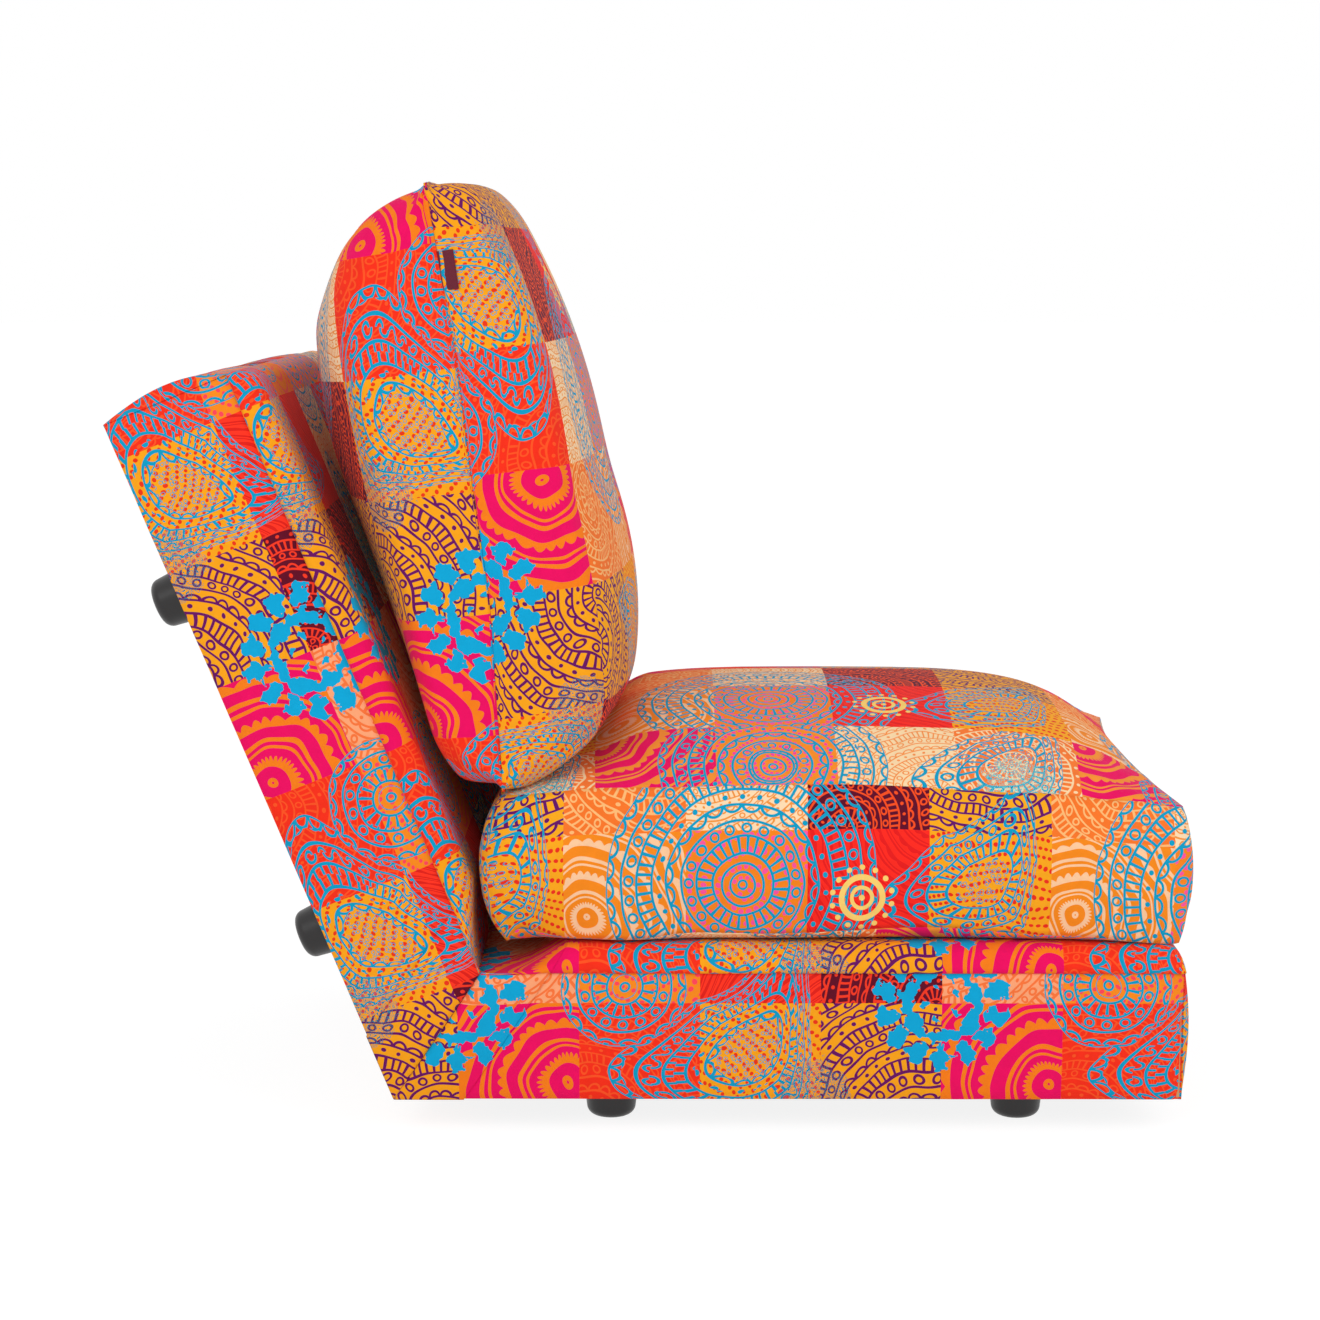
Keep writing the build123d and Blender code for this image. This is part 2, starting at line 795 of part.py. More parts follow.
def pillow_form(inset):
    """The stuffed cushion's solid, lofted across the chair."""
    with BuildPart() as form:
        loft([pillow_outline(station, inset) for station in pillow_station_shares])
    return form


bottom_seam_place = pillow_place(edge_outline_shares[0])
top_seam = pillow_place(edge_outline_shares[top_seam_place])
seam_point = back.point(*bottom_seam_place)
seam_way = back.point(*top_seam) - seam_point
pillow_zip_plane = Plane(
    origin=seam_point + seam_way.normalized() * zip_pocket_depth,
    x_dir=(0, 1, 0),
    z_dir=seam_way * -1,
)


def zip_pocket():
    """Room for the zip along the bottom seam."""
    with BuildPart() as pocket:
        with BuildSketch(pillow_zip_plane.offset(-zip_tape_thickness)):
            Rectangle(pillow_zip_length, zip_pocket_width)
        extrude(amount=2 * zip_pocket_depth)
    return pocket


def make_back_cushion():
    """Filling, front and rear panels, zip along the bottom seam and plain tab in the side seam."""
    outer = pillow_form(0.0)
    inner = pillow_form(cloth)
    pocket = zip_pocket()
    seam_plane = Plane(origin=seam_point, x_dir=(0, 1, 0), z_dir=seam_way.cross(Vector(0, 1, 0)))
    with BuildPart() as filling:
        add(inner.part)
        add(pocket.part, mode=Mode.SUBTRACT)
    save(filling, "pillow_filling")
    for panel_name, keep in (("rear", Keep.TOP), ("front", Keep.BOTTOM)):
        with BuildPart() as panel:
            add(outer.part)
            add(inner.part, mode=Mode.SUBTRACT)
            add(pocket.part, mode=Mode.SUBTRACT)
            split(bisect_by=seam_plane, keep=keep)
        with BuildPart() as cover:
            add(panel.solids().sort_by(SortBy.VOLUME)[-1])
        save(cover, f"pillow_cover_{panel_name}")
    make_zip("pillow", pillow_zip_plane, pillow_zip_length, zip_pocket_width)
    tab_top = pillow_place(tab_corner_shares)
    with BuildPart() as tab:
        with BuildSketch(back.side(-(pillow_width + tab_thickness) / 2)):
            with Locations((tab_top[0] - tab_length / 2, tab_top[1] + tab_width / 2)):
                Rectangle(tab_length, tab_width)
        extrude(amount=tab_thickness / 2, both=True)
    save(tab, "pillow_tab")


for part_section in (base, back):
    make_side_rails(part_section)
    make_cross_rails(part_section)
    make_foot_boards(part_section)
    make_slats(part_section)
    make_pad(part_section)
    make_strips(part_section)
    make_feet(part_section)
for hinge_side_name, hinge_side in SIDES:
    make_hinge(hinge_side_name, hinge_side)
make_hinge_pawls()
make_hinge_bolts(base, fork_thickness)
make_hinge_bolts(back, cheek_thickness + plate_clearance + plate_thickness)
make_fold_cover()
make_seat_cushion()
make_zip("seat", seat_zip_plane, seat_zip_length, zip_tape_width)
make_back_cushion()
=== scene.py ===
import logging
import math
from dataclasses import dataclass
from enum import Enum
from typing import Any, Callable, Iterable, Sequence

import bmesh
import bpy
import numpy as np
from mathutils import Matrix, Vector, noise
from mathutils.bvhtree import BVHTree


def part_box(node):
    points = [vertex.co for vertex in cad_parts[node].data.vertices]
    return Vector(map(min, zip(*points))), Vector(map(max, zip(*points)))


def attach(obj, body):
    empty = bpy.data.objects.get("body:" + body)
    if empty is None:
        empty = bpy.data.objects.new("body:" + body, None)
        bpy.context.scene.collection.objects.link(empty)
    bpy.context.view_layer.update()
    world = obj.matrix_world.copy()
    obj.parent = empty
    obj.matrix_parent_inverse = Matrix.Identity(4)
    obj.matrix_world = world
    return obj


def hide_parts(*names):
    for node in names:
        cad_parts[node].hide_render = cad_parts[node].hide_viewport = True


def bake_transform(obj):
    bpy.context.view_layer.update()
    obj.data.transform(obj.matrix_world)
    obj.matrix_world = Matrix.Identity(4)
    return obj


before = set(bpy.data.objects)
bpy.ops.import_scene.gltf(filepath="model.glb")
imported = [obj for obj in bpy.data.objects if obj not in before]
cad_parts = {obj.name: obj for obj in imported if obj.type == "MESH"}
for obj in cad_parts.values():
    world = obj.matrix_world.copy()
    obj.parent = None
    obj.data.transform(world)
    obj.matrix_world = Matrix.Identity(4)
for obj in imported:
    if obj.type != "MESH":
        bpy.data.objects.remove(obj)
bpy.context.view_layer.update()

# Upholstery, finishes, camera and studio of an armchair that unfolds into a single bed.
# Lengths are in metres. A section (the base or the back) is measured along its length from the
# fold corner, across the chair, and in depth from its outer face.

LOG = logging.getLogger("armchair")

Piece = bpy.types.Object
Material = bpy.types.Material
Rgb = tuple[int, int, int]
Triple = tuple[float, float, float]
Placed = tuple[Sequence[float], tuple[float, float]]

MILLIMETRE = 0.001
CHAIR_HALF_WIDTH = 0.350
FOLD_X = -0.3216
FOOT_HEIGHT = 0.042
FOLD_CORNER = Vector((FOLD_X, 0.0, FOOT_HEIGHT))
FOLD_ANGLE = math.radians(56.0)
FOLD_REACH = 0.070
BACK_LEAN = math.radians(22.0)
STRIP_HEIGHT = 0.158
PAD_HEIGHT = 0.030
SECTION_DEPTH = STRIP_HEIGHT + PAD_HEIGHT
EDGE_SWELL = 0.004
TURNED_IN = 0.022
COVER_THICKNESS = 0.002
STRIP_THICKNESS = 0.0015
PATCH = 0.146
STRIP_PRINT = 0.0255
TOP_PRINT = 0.040


# Shader nodes


def linear(red: int, green: int, blue: int) -> tuple[float, float, float, float]:
    """Turns a colour written as 0 to 255 per channel into scene linear.

    Args:
        red: Red channel.
        green: Green channel.
        blue: Blue channel.

    Returns:
        The linear colour with full alpha.
    """
    shares = [channel / 255 for channel in (red, green, blue)]
    values = [s / 12.92 if s <= 0.04045 else ((s + 0.055) / 1.055) ** 2.4 for s in shares]
    return (values[0], values[1], values[2], 1.0)


def math_method(operation: str, about: str, swapped: bool = False) -> "Callable[..., Thread]":
    """Makes a method of Thread that adds one Math node.

    Args:
        operation: The node's operation.
        about: What the method gives.
        swapped: Whether the other number comes first, as in 1 - mask.

    Returns:
        The method.
    """

    def method(self: "Thread", *others: "Thread | float") -> "Thread":
        values = (*others, self) if swapped else (self, *others)
        return self.bench.add("ShaderNodeMath", {"operation": operation}, dict(enumerate(values)))

    method.__doc__ = about
    return method


@dataclass(frozen=True, eq=False)
class Thread:
    """A number that varies over a surface; arithmetic on it adds Math nodes."""

    bench: "Bench"
    socket: bpy.types.NodeSocket

    __add__ = __radd__ = math_method("ADD", "Sum.")
    __sub__ = math_method("SUBTRACT", "Difference.")
    __rsub__ = math_method("SUBTRACT", "Difference from a plain number.", swapped=True)
    __mul__ = __rmul__ = math_method("MULTIPLY", "Product.")
    __truediv__ = math_method("DIVIDE", "Quotient.")
    __lt__ = math_method("LESS_THAN", "One where this is below the other, else zero.")
    __gt__ = math_method("GREATER_THAN", "One where this is above the other, else zero.")
    floor = math_method("FLOOR", "Whole part, rounded down.")
    fraction = math_method("FRACT", "Part after the point.")
    remainder = math_method("FLOORED_MODULO", "Remainder that stays positive.")
    size = math_method("ABSOLUTE", "Absolute value.")
    sine = math_method("SINE", "Sine of an angle in radians.")
    most = math_method("MAXIMUM", "Larger of two.")
    root = math_method("SQRT", "Square root.")
    turn_from = math_method("ARCTAN2", "Angle of the point (other, this), in radians.")

    def choose(self, where_one: "Thread | float", where_zero: "Thread | float") -> "Thread":
        """Takes one number where this mask is one, and the other elsewhere."""
        values = {0: self, 2: where_zero, 3: where_one}
        return self.bench.add("ShaderNodeMix", {"data_type": "FLOAT"}, values)


@dataclass(frozen=True, eq=False)
class Tint:
    """A colour or a vector that varies over a surface."""

    bench: "Bench"
    socket: bpy.types.NodeSocket

    def under(self, mask: Thread | float, top: "Colour", blend: str = "MIX") -> "Tint":
        """Lays another colour over this one.

        Args:
            mask: Share of the top colour.
            top: The colour laid over.
            blend: How the two are combined.

        Returns:
            The combined colour.
        """
        return self.bench.mix(mask, self, top, blend)


Colour = tuple[float, float, float, float] | Tint


def distance(x: Thread, y: Thread) -> Thread:
    """Distance from the middle, for a place across and up."""
    return (x * x + y * y).root()


class Bench:
    """The nodes of one material or of the world."""

    def __init__(self, name: str, library: str = "materials") -> None:
        """Starts a material, or the world, with its own shader.

        Args:
            name: Its name.
            library: Where it is kept: materials or worlds.
        """
        self.owner = getattr(bpy.data, library).new(name)
        self.owner.use_nodes = True
        self.tree = self.owner.node_tree
        self.shader = next(n for n in self.tree.nodes if n.type in ("BSDF_PRINCIPLED", "BACKGROUND"))
        self.end = next(n for n in self.tree.nodes if n.type.startswith("OUTPUT"))

    def node(self, kind: str, settings: dict | None = None, values: dict | None = None) -> bpy.types.Node:
        """Adds a node.

        Args:
            kind: The node's type.
            settings: Its settings, set first; "stops" are a ramp's places and colours.
            values: Values or links of its inputs, by number or name.

        Returns:
            The node.
        """
        made = self.tree.nodes.new(kind)
        for key, value in (settings or {}).items():
            if key == "stops":
                ramp = made.color_ramp
                ramp.interpolation = "CONSTANT"
                for index, (place, colour) in enumerate(value):
                    stop = ramp.elements[index] if index < 2 else ramp.elements.new(place)
                    stop.position = place
                    stop.color = colour
            else:
                setattr(made, key, value)
        for key, value in (values or {}).items():
            self.feed(made.inputs[key], value)
        return made

    def feed(self, socket: bpy.types.NodeSocket, value: Thread | Tint | float | tuple) -> None:
        """Links or sets one input."""
        if isinstance(value, (Thread, Tint)):
            self.tree.links.new(value.socket, socket)
        else:
            socket.default_value = value

    def add(
        self, kind: str, settings: dict | None = None, values: dict | None = None, output: int | str = 0
    ) -> Thread:
        """Adds a node and returns one of its numbers."""
        return Thread(self, self.node(kind, settings, values).outputs[output])

    def tint(
        self, kind: str, settings: dict | None = None, values: dict | None = None, output: int | str = 0
    ) -> Tint:
        """Adds a node and returns one of its colours or vectors."""
        return Tint(self, self.node(kind, settings, values).outputs[output])

    def split(self, vector: Tint) -> tuple[Thread, Thread, Thread]:
        """Splits a vector or colour into its three numbers."""
        parts = self.node("ShaderNodeSeparateXYZ", None, {0: vector})
        return tuple(Thread(self, parts.outputs[i]) for i in range(3))

    def mix(self, share: Thread | float, one: Colour, two: Colour, blend: str = "MIX") -> Tint:
        """Mixes two colours.

        Args:
            share: Share of the second.
            one: The first colour.
            two: The second colour.
            blend: How the two are combined.

        Returns:
            The mixed colour.
        """
        settings = {"data_type": "RGBA", "blend_type": blend}
        return self.tint("ShaderNodeMix", settings, {0: share, 6: one, 7: two}, output=2)

    def grey(self, value: Thread) -> Tint:
        """A grey as light as a number."""
        return self.tint("ShaderNodeCombineColor", None, dict.fromkeys(range(3), value))

    def show_to_camera(self, shader: bpy.types.Node, share: float = 1.0) -> None:
        """Shows another shader to the camera and to clear reflections, over the bench's own.

        Args:
            shader: The other shader.
            share: Its share there.
        """
        path = self.node("ShaderNodeLightPath")
        rays = [Thread(self, path.outputs[f"Is {ray} Ray"]) for ray in ("Camera", "Glossy", "Transmission")]
        mixed = self.node("ShaderNodeMixShader", None, {0: rays[0].most(rays[1]).most(rays[2]) * share})
        self.tree.links.new(self.shader.outputs[0], mixed.inputs[1])
        self.tree.links.new(shader.outputs[0], mixed.inputs[2])
        self.tree.links.new(mixed.outputs[0], self.end.inputs["Surface"])

    def finish(
        self,
        colour: Colour,
        roughness: Thread | float,
        height: Thread | None = None,
        relief: float = MILLIMETRE,
        strength: float = 0.5,
        **constants: float,
    ) -> Material:
        """Feeds the shader.

        Args:
            colour: Base colour.
            roughness: Roughness.
            height: Height for the bump, or none.
            relief: The bump's distance.
            strength: The bump's strength.
            **constants: Other inputs of the shader, by name with underscores.

        Returns:
            The finished material.
        """
        self.feed(self.shader.inputs["Base Color"], colour)
        self.feed(self.shader.inputs["Roughness"], roughness)
        if height is not None:
            values = {"Strength": strength, "Distance": relief, "Height": height}
            self.feed(self.shader.inputs["Normal"], self.tint("ShaderNodeBump", None, values))
        for key, value in constants.items():
            self.shader.inputs[key.replace("_", " ")].default_value = value
        return self.owner

    def object_place(self) -> Tint:
        """Place on the piece in metres."""
        return self.tint("ShaderNodeTexCoord", None, None, output="Object")

    def grain(self, place: Tint, scale: float, detail: float = 2.0) -> Thread:
        """Noise between 0 and 1."""
        return self.add("ShaderNodeTexNoise", None, {"Vector": place, "Scale": scale, "Detail": detail})

    def drift(self, place: Tint, scale: float, detail: float) -> tuple[Thread, Thread]:
        """Two unlike noises between 0 and 1 over a flat map."""
        values = {"Vector": place, "Scale": scale, "Detail": detail}
        noises = self.tint("ShaderNodeTexNoise", {"noise_dimensions": "2D"}, values, output=1)
        return self.split(noises)[:2]


# Finishes


class Style(Enum):
    """How a patch's own ornament is drawn."""

    BANDS = 0.0
    DOTTED = 0.5
    BOLD = 1.0


@dataclass(frozen=True)
class Patch:
    """One printed square: its colours and the middle, pitch and line width of its ornament."""

    ground: Rgb
    line: Rgb
    style: Style = Style.BANDS
    middle: tuple[float, float] = (0.0, 0.0)
    pitch: float = 0.10
    width: float = 0.16


@dataclass(frozen=True)
class PrintedCotton:
    """Patchwork print of folk ornament: rows of four squares, line motifs over them and blue wreaths.

    The rings of the wreath and of the sun are given from the middle outwards, in squares.
    """

    turquoise: Rgb = (0, 158, 200)
    sky: Rgb = (0, 168, 218)
    sun: Rgb = (255, 215, 115)
    ice: Rgb = (120, 220, 215)
    teal: Rgb = (10, 128, 165)
    thread: float = 0.0016
    waviness: float = 0.16
    ring: float = 0.124
    line_width: float = 0.15
    jagged_edge: float = 0.15
    wreath: Triple = (0.15, 0.285, 0.465)
    sun_rings: Triple = (0.085, 0.17, 0.25)
    rows: tuple[tuple[Patch, ...], ...] = (
        (
            Patch((240, 0, 98), (250, 128, 20), Style.BOLD, (0.9, 0.3), 0.34, 0.3),
            Patch((250, 46, 20), (255, 84, 32), Style.BANDS, (0.1, 0.0), 0.09, 0.14),
            Patch((252, 166, 20), (238, 52, 20), Style.DOTTED, (-0.6, -0.7), 0.078, 0.3),
            Patch((252, 166, 20), (104, 12, 98), Style.BANDS, (0.9, -0.1), 0.105, 0.17),
        ),
        (
            Patch((255, 168, 120), (250, 120, 60), Style.BANDS, (0.0, 0.9), 0.09, 0.2),
            Patch((250, 140, 25), (255, 70, 90), Style.DOTTED, (0.5, 0.5), 0.085, 0.2),
            Patch((255, 52, 30), (225, 30, 20), Style.BOLD, (1.4, -0.6), 0.1, 0.15),
            Patch((96, 2, 34), (246, 56, 32), Style.BANDS, (0.95, 0.0), 0.085, 0.18),
        ),
        (
            Patch((240, 0, 98), (250, 148, 50), Style.BOLD, (0.1, 0.95), 0.30, 0.25),
            Patch((252, 145, 35), (255, 70, 160), Style.DOTTED, (0.5, 0.5), 0.08, 0.4),
            Patch((255, 222, 175), (250, 150, 70), Style.BANDS, (0.8, 0.2), 0.07, 0.14),
            Patch((252, 125, 50), (255, 220, 170), Style.BANDS, (0.4, 0.5), 0.09, 0.16),
        ),
        (
            Patch((250, 140, 24), (255, 205, 160), Style.BOLD, (0.2, 0.35), 0.22, 0.3),
            Patch((250, 135, 25), (255, 85, 160), Style.DOTTED, (0.5, 0.5), 0.10, 0.35),
            Patch((255, 40, 28), (235, 25, 25), Style.BOLD, (1.2, 1.2), 0.14, 0.1),
            Patch((252, 170, 24), (238, 44, 24), Style.DOTTED, (0.6, -0.9), 0.078, 0.3),
        ),
        (
            Patch((250, 120, 40), (255, 190, 120), Style.BANDS, (0.7, 0.7), 0.09, 0.15),
            Patch((255, 222, 180), (245, 150, 60), Style.BANDS, (0.1, 0.9), 0.07, 0.16),
            Patch((92, 2, 38), (246, 76, 28), Style.BANDS, (0.3, 0.0), 0.08, 0.18),
            Patch((252, 172, 24), (100, 14, 104), Style.BANDS, (0.5, 1.1), 0.10, 0.17),
        ),
    )

    def _table(self, bench: Bench, place: Thread, pick: Callable[[Patch], tuple]) -> Tint:
        """A colour, or three numbers, of the square at a place from 0 to 1 through the rows."""
        squares = [square for row in self.rows for square in row]
        stops = [(index / len(squares), pick(square)) for index, square in enumerate(squares)]
        return bench.tint("ShaderNodeValToRGB", {"stops": stops}, {0: place})

    @staticmethod
    def _ornament(
        reach: Thread,
        angle: Thread,
        pitch: Thread | float,
        width: Thread | float,
        inset: Thread | None = None,
    ) -> tuple[Thread, Thread]:
        """Rings of circles, hatching, dots and scallops round a middle.

        Args:
            reach: Distance from the middle, in squares.
            angle: Angle round the middle, in radians.
            pitch: Width of a ring.
            width: Line width as a share of the ring.
            inset: Distance inwards from the motif's rim, where the rings are counted from there.

        Returns:
            The drawn lines, and rows of dots alone.
        """
        turns = reach / pitch
        around = angle * (1 / math.tau)
        ring = turns if inset is None else inset / pitch
        number = ring.floor()
        up = ring - number - 0.5
        aside = (around * (turns.floor() * 5.2 + 4.0).floor()).fraction() - 0.5
        spread = (aside * aside * 1.2 + up * up).root()
        arch = distance(aside, up + 0.5)
        hatch = ((aside * 2.0).fraction() - 0.5).size() < width * 1.1
        circle = (spread - 0.27).size() < width * 0.5
        scallop = (arch - 0.45).size() < width * 0.55
        dot = spread < 0.17
        kind = (number + (0.0 if inset is None else 3.0)).remainder(4.0)
        band = (kind < 0.5).choose(circle, (kind < 1.5).choose(hatch, (kind < 2.5).choose(dot, scallop)))
        edge = up.size() > 0.5 - width * 0.55
        bead = ((around * (number * 10.0 + 5.0)).fraction() - 0.5) * 0.6
        return edge.most(band), distance(bead, up) < 0.21

    def make(self) -> Material:
        """Builds the print.

        Returns:
            The material, which reads the map named Cloth, in metres.
        """
        bench = Bench("printed_cotton")
        cloth = bench.tint("ShaderNodeUVMap", {"uv_map": "Cloth"})
        drift_x, drift_y = bench.drift(cloth, 14.0, 1.0)
        u, v, _ = bench.split(cloth)
        column = (u * (1 / PATCH)).remainder(4.0)
        row = (v * (1 / PATCH)).remainder(5.0)
        column_number = column.floor()
        row_number = row.floor()
        place = (row_number * 4.0 + column_number + 0.5) * (1 / 20)
        wavy_x = (drift_x - 0.5) * self.waviness
        wavy_y = (drift_y - 0.5) * self.waviness
        ground = self._table(bench, place, lambda s: linear(*s.ground))
        line = self._table(bench, place, lambda s: linear(*s.line))
        numbers = self._table(bench, place, lambda s: (s.style.value, s.pitch, s.width, 1.0))
        middles = self._table(bench, place, lambda s: (*(m / 4 + 0.5 for m in s.middle), 0.0, 1.0))
        style, pitch, width = bench.split(numbers)
        middle_x, middle_y, _ = bench.split(middles)
        east = column - column_number - (middle_x * 4.0 - 2.0) + wavy_x
        north = row - row_number - (middle_y * 4.0 - 2.0) + wavy_y
        reach = distance(east, north)
        angle = north.turn_from(east)
        lines, dots = self._ornament(reach, angle, pitch, width)
        band = (reach / pitch + 0.55).fraction()
        petal = (angle * 17.0).sine().size() * 0.13
        bold = (band < petal + 0.13).most((band - 0.46).size() < 0.035).most((band - 0.64).size() < 0.055)
        own = (style < 0.25).choose(lines, (style < 0.75).choose(dots, bold))
        colour = self._motifs(bench, ground.under(own, line), column, row, wavy_x, wavy_y)
        mottle = bench.grain(cloth, 60.0, 3.0) * 0.16 + 0.92
        colour = colour.under(1.0, bench.grey(mottle), "MULTIPLY")
        weft = (u * (math.tau / self.thread)).sine()
        warp = (v * (math.tau / self.thread)).sine()
        weave = weft * warp * 0.5 + bench.grain(cloth, 900.0, 2.0) * 0.7
        rough = bench.grain(cloth, 35.0) * 0.12 + 0.78
        sheen = {"Sheen_Weight": 0.04, "Sheen_Roughness": 0.45, "Specular_IOR_Level": 0.18}
        return bench.finish(colour, rough, weave, 0.0006, 0.35, **sheen)

    def _motifs(
        self, bench: Bench, colour: Tint, column: Thread, row: Thread, wavy_x: Thread, wavy_y: Thread
    ) -> Tint:
        """Lays the line motifs, wreaths and suns that cross the squares over the squares.

        Args:
            bench: The material's nodes.
            colour: The squares.
            column: Place across, in squares, from 0 to 4.
            row: Place up, in squares, from 0 to 5.
            wavy_x: Small unevenness across.
            wavy_y: Small unevenness up.

        Returns:
            The finished print's colour.
        """
        lower = row < 2.0
        topmost = (row < 3.0) - lower
        seam = lower.choose(1.0, topmost.choose(2.45, 4.0))
        round_x = lower.choose(1.37, 1.47)
        round_y = seam + lower.choose(0.14, topmost.choose(0.0, -0.42))
        round_size = lower.choose(0.52, topmost.choose(0.95, 1.12))
        leaf_x = lower.choose(2.42, 3.45)
        leaf_y = seam + lower.choose(-0.42, topmost.choose(0.05, -0.4))
        leaf_size = lower.choose(0.80, 0.62)
        from_round_x = column - round_x + wavy_x * 0.35
        from_round_y = row - round_y + wavy_y * 0.35
        round_reach = distance(from_round_x, from_round_y)
        east = column - leaf_x + wavy_x * 0.5
        north = row - leaf_y + wavy_y * 0.5
        long_way = (east + north) * 0.7071
        side_way = (east - north) * 0.7071
        bent = side_way + long_way * long_way * 0.55
        taper = (long_way.most(0.0) * 1.5 + 1.25) * bent
        leaf_reach = (taper * taper + long_way * long_way * 0.62).root()
        on_round = (round_reach / round_size) < (leaf_reach / leaf_size)
        reach = on_round.choose(round_reach, leaf_reach)
        size = on_round.choose(round_size, leaf_size)
        turn_y = on_round.choose(from_round_y, bent)
        turn_x = on_round.choose(from_round_x, long_way)
        lines, _ = self._ornament(reach, turn_y.turn_from(turn_x), self.ring, self.line_width, size - reach)
        inside = reach < size
        squares = bench.tint("ShaderNodeCombineXYZ", None, {0: column, 1: row})
        flat = {"voronoi_dimensions": "2D"}
        seed_reach = bench.add("ShaderNodeTexVoronoi", flat, {"Vector": squares, "Scale": 21.0})
        stipple = (seed_reach - 0.30).size() < 0.06
        rings_in = ((reach * 14.0).fraction() - 0.5).size() < 0.14
        core = (reach / size) < on_round.choose(0.2, 0.30)
        inner = core.choose(on_round.choose(rings_in, stipple), lines)
        colour = colour.under(inner * inside, linear(*self.turquoise))
        jag_x, jag_y = bench.drift(squares, 12.0, 2.0)
        lace_x = column - lower.choose(2.95, 3.5)
        lace_y = row - lower.choose(0.22, 2.3)
        lace_reach = distance(lace_x, lace_y) + (jag_x - 0.5) * 0.3
        squiggle = ((jag_y * 11.0 + lace_reach * 9.0).fraction() - 0.5).size() < 0.15
        lace_colour = bench.mix(lower, linear(*self.ice), linear(*self.teal))
        colour = colour.under(squiggle * (lace_reach < 0.3), lace_colour)
        wreath_x = (column + 1.0).remainder(4.0) - 1.0 + (jag_x - 0.5) * self.jagged_edge
        wreath_y = row - 1.0 + (jag_y - 0.5) * self.jagged_edge
        wreath_reach = distance(wreath_x, wreath_y)
        wreath_turn = wreath_y.turn_from(wreath_x) * (1 / math.tau)
        leaf = ((wreath_turn * 14.0).fraction() - 0.5) * 0.21
        twig = ((wreath_turn * 5.0).fraction() - 0.5) * 0.24
        off_twig, off_ring, off_leaf = (wreath_reach - place for place in self.wreath)
        leaves = (leaf * leaf + off_leaf * off_leaf * 0.6).root() < 0.078
        twigs = (twig * twig * 0.5 + off_twig * off_twig).root() < 0.030
        ring = off_ring.size() < (wreath_turn * 7.0 * math.tau).sine() * 0.016 + 0.052
        colour = colour.under(ring.most(leaves).most(twigs) * lower, linear(*self.sky))
        sun_x = column - 2.45
        sun_y = row - 3.45
        sun_reach = distance(sun_x, sun_y) + wavy_x * 0.08
        ray = (sun_y.turn_from(sun_x) * (14 / math.tau)).fraction() - 0.5
        inner, outer, off_bead = (sun_reach - place for place in self.sun_rings)
        beads = distance(ray * 0.105, off_bead) < 0.022
        rings = (outer.size() < 0.024).most(inner.size() < 0.016)
        return colour.under(beads.most(rings.most(sun_reach < 0.025)), linear(*self.sun))


@dataclass(frozen=True)
class PlainFinish:
    """A plain woven, moulded or sawn finish with grain in its colour, roughness and relief."""

    name: str
    colour: Rgb
    shade: Rgb
    scale: Triple
    roughness: float
    relief: float = 0.0003
    strength: float = 0.4
    metal: float = 0.0
    sheen: float = 0.0

    def make(self) -> Material:
        """Builds the finish.

        Returns:
            The material.
        """
        bench = Bench(self.name)
        place = bench.tint("ShaderNodeMapping", None, {"Vector": bench.object_place(), "Scale": self.scale})
        streaks = bench.grain(place, 1.0, 4.0)
        fine = bench.grain(bench.object_place(), 900.0, 2.0)
        colour = bench.mix(streaks, linear(*self.colour), linear(*self.shade))
        rough = streaks * 0.16 + fine * 0.08 + (self.roughness - 0.12)
        height = streaks * 0.5 + fine
        shine = {"Metallic": self.metal, "Sheen_Weight": self.sheen}
        return bench.finish(colour, rough, height, self.relief, self.strength, **shine)


@dataclass(frozen=True)
class WovenFinish:
    """A plain woven tape or lining with crossing threads."""

    name: str
    colour: Rgb
    shade: Rgb
    thread: float
    roughness: float = 0.85

    def make(self) -> Material:
        """Builds the weave.

        Returns:
            The material.
        """
        bench = Bench(self.name)
        x, y, z = bench.split(bench.object_place())
        one = ((x + z * 0.3) * (math.tau / self.thread)).sine()
        other = ((y + z) * (math.tau / self.thread)).sine()
        weave = one * other
        cloudy = bench.grain(bench.object_place(), 40.0, 3.0)
        worn = cloudy * 0.6 + weave * 0.25
        colour = bench.mix(worn, linear(*self.colour), linear(*self.shade))
        rough = cloudy * 0.1 + (self.roughness - 0.05)
        return bench.finish(colour, rough, weave + cloudy * 0.5, 0.0004, 0.6, Sheen_Weight=0.1)


# Meshes


def rumple(place: Vector, scale: float, seed: float = 0.0) -> float:
    """Smooth unevenness between about -1 and 1 at a place."""
    return noise.noise(Vector((place[0] * scale + seed, place[1] * scale, place[2] * scale)))


@dataclass
class Panel:
    """A grid of cloth: rows of points with their places on the cloth, and whether its columns close."""

    points: np.ndarray
    cloth: np.ndarray
    finish: int = 0
    closed: bool = False
    flip: bool = False


def lay_out(rows: Iterable, columns: Iterable, spot: Callable[[Any, Any], Placed], **fields: Any) -> Panel:
    """Lays out a panel point by point.

    Args:
        rows: What its rows stand for.
        columns: What its columns stand for.
        spot: Gives the point and its place on the cloth for a row and a column.
        **fields: The panel's other fields.

    Returns:
        The panel.
    """
    columns = list(columns)
    grid = [[spot(row, column) for column in columns] for row in rows]
    points = np.array([[tuple(point) for point, _ in line] for line in grid])
    cloth = np.array([[place for _, place in line] for line in grid])
    return Panel(points, cloth, **fields)


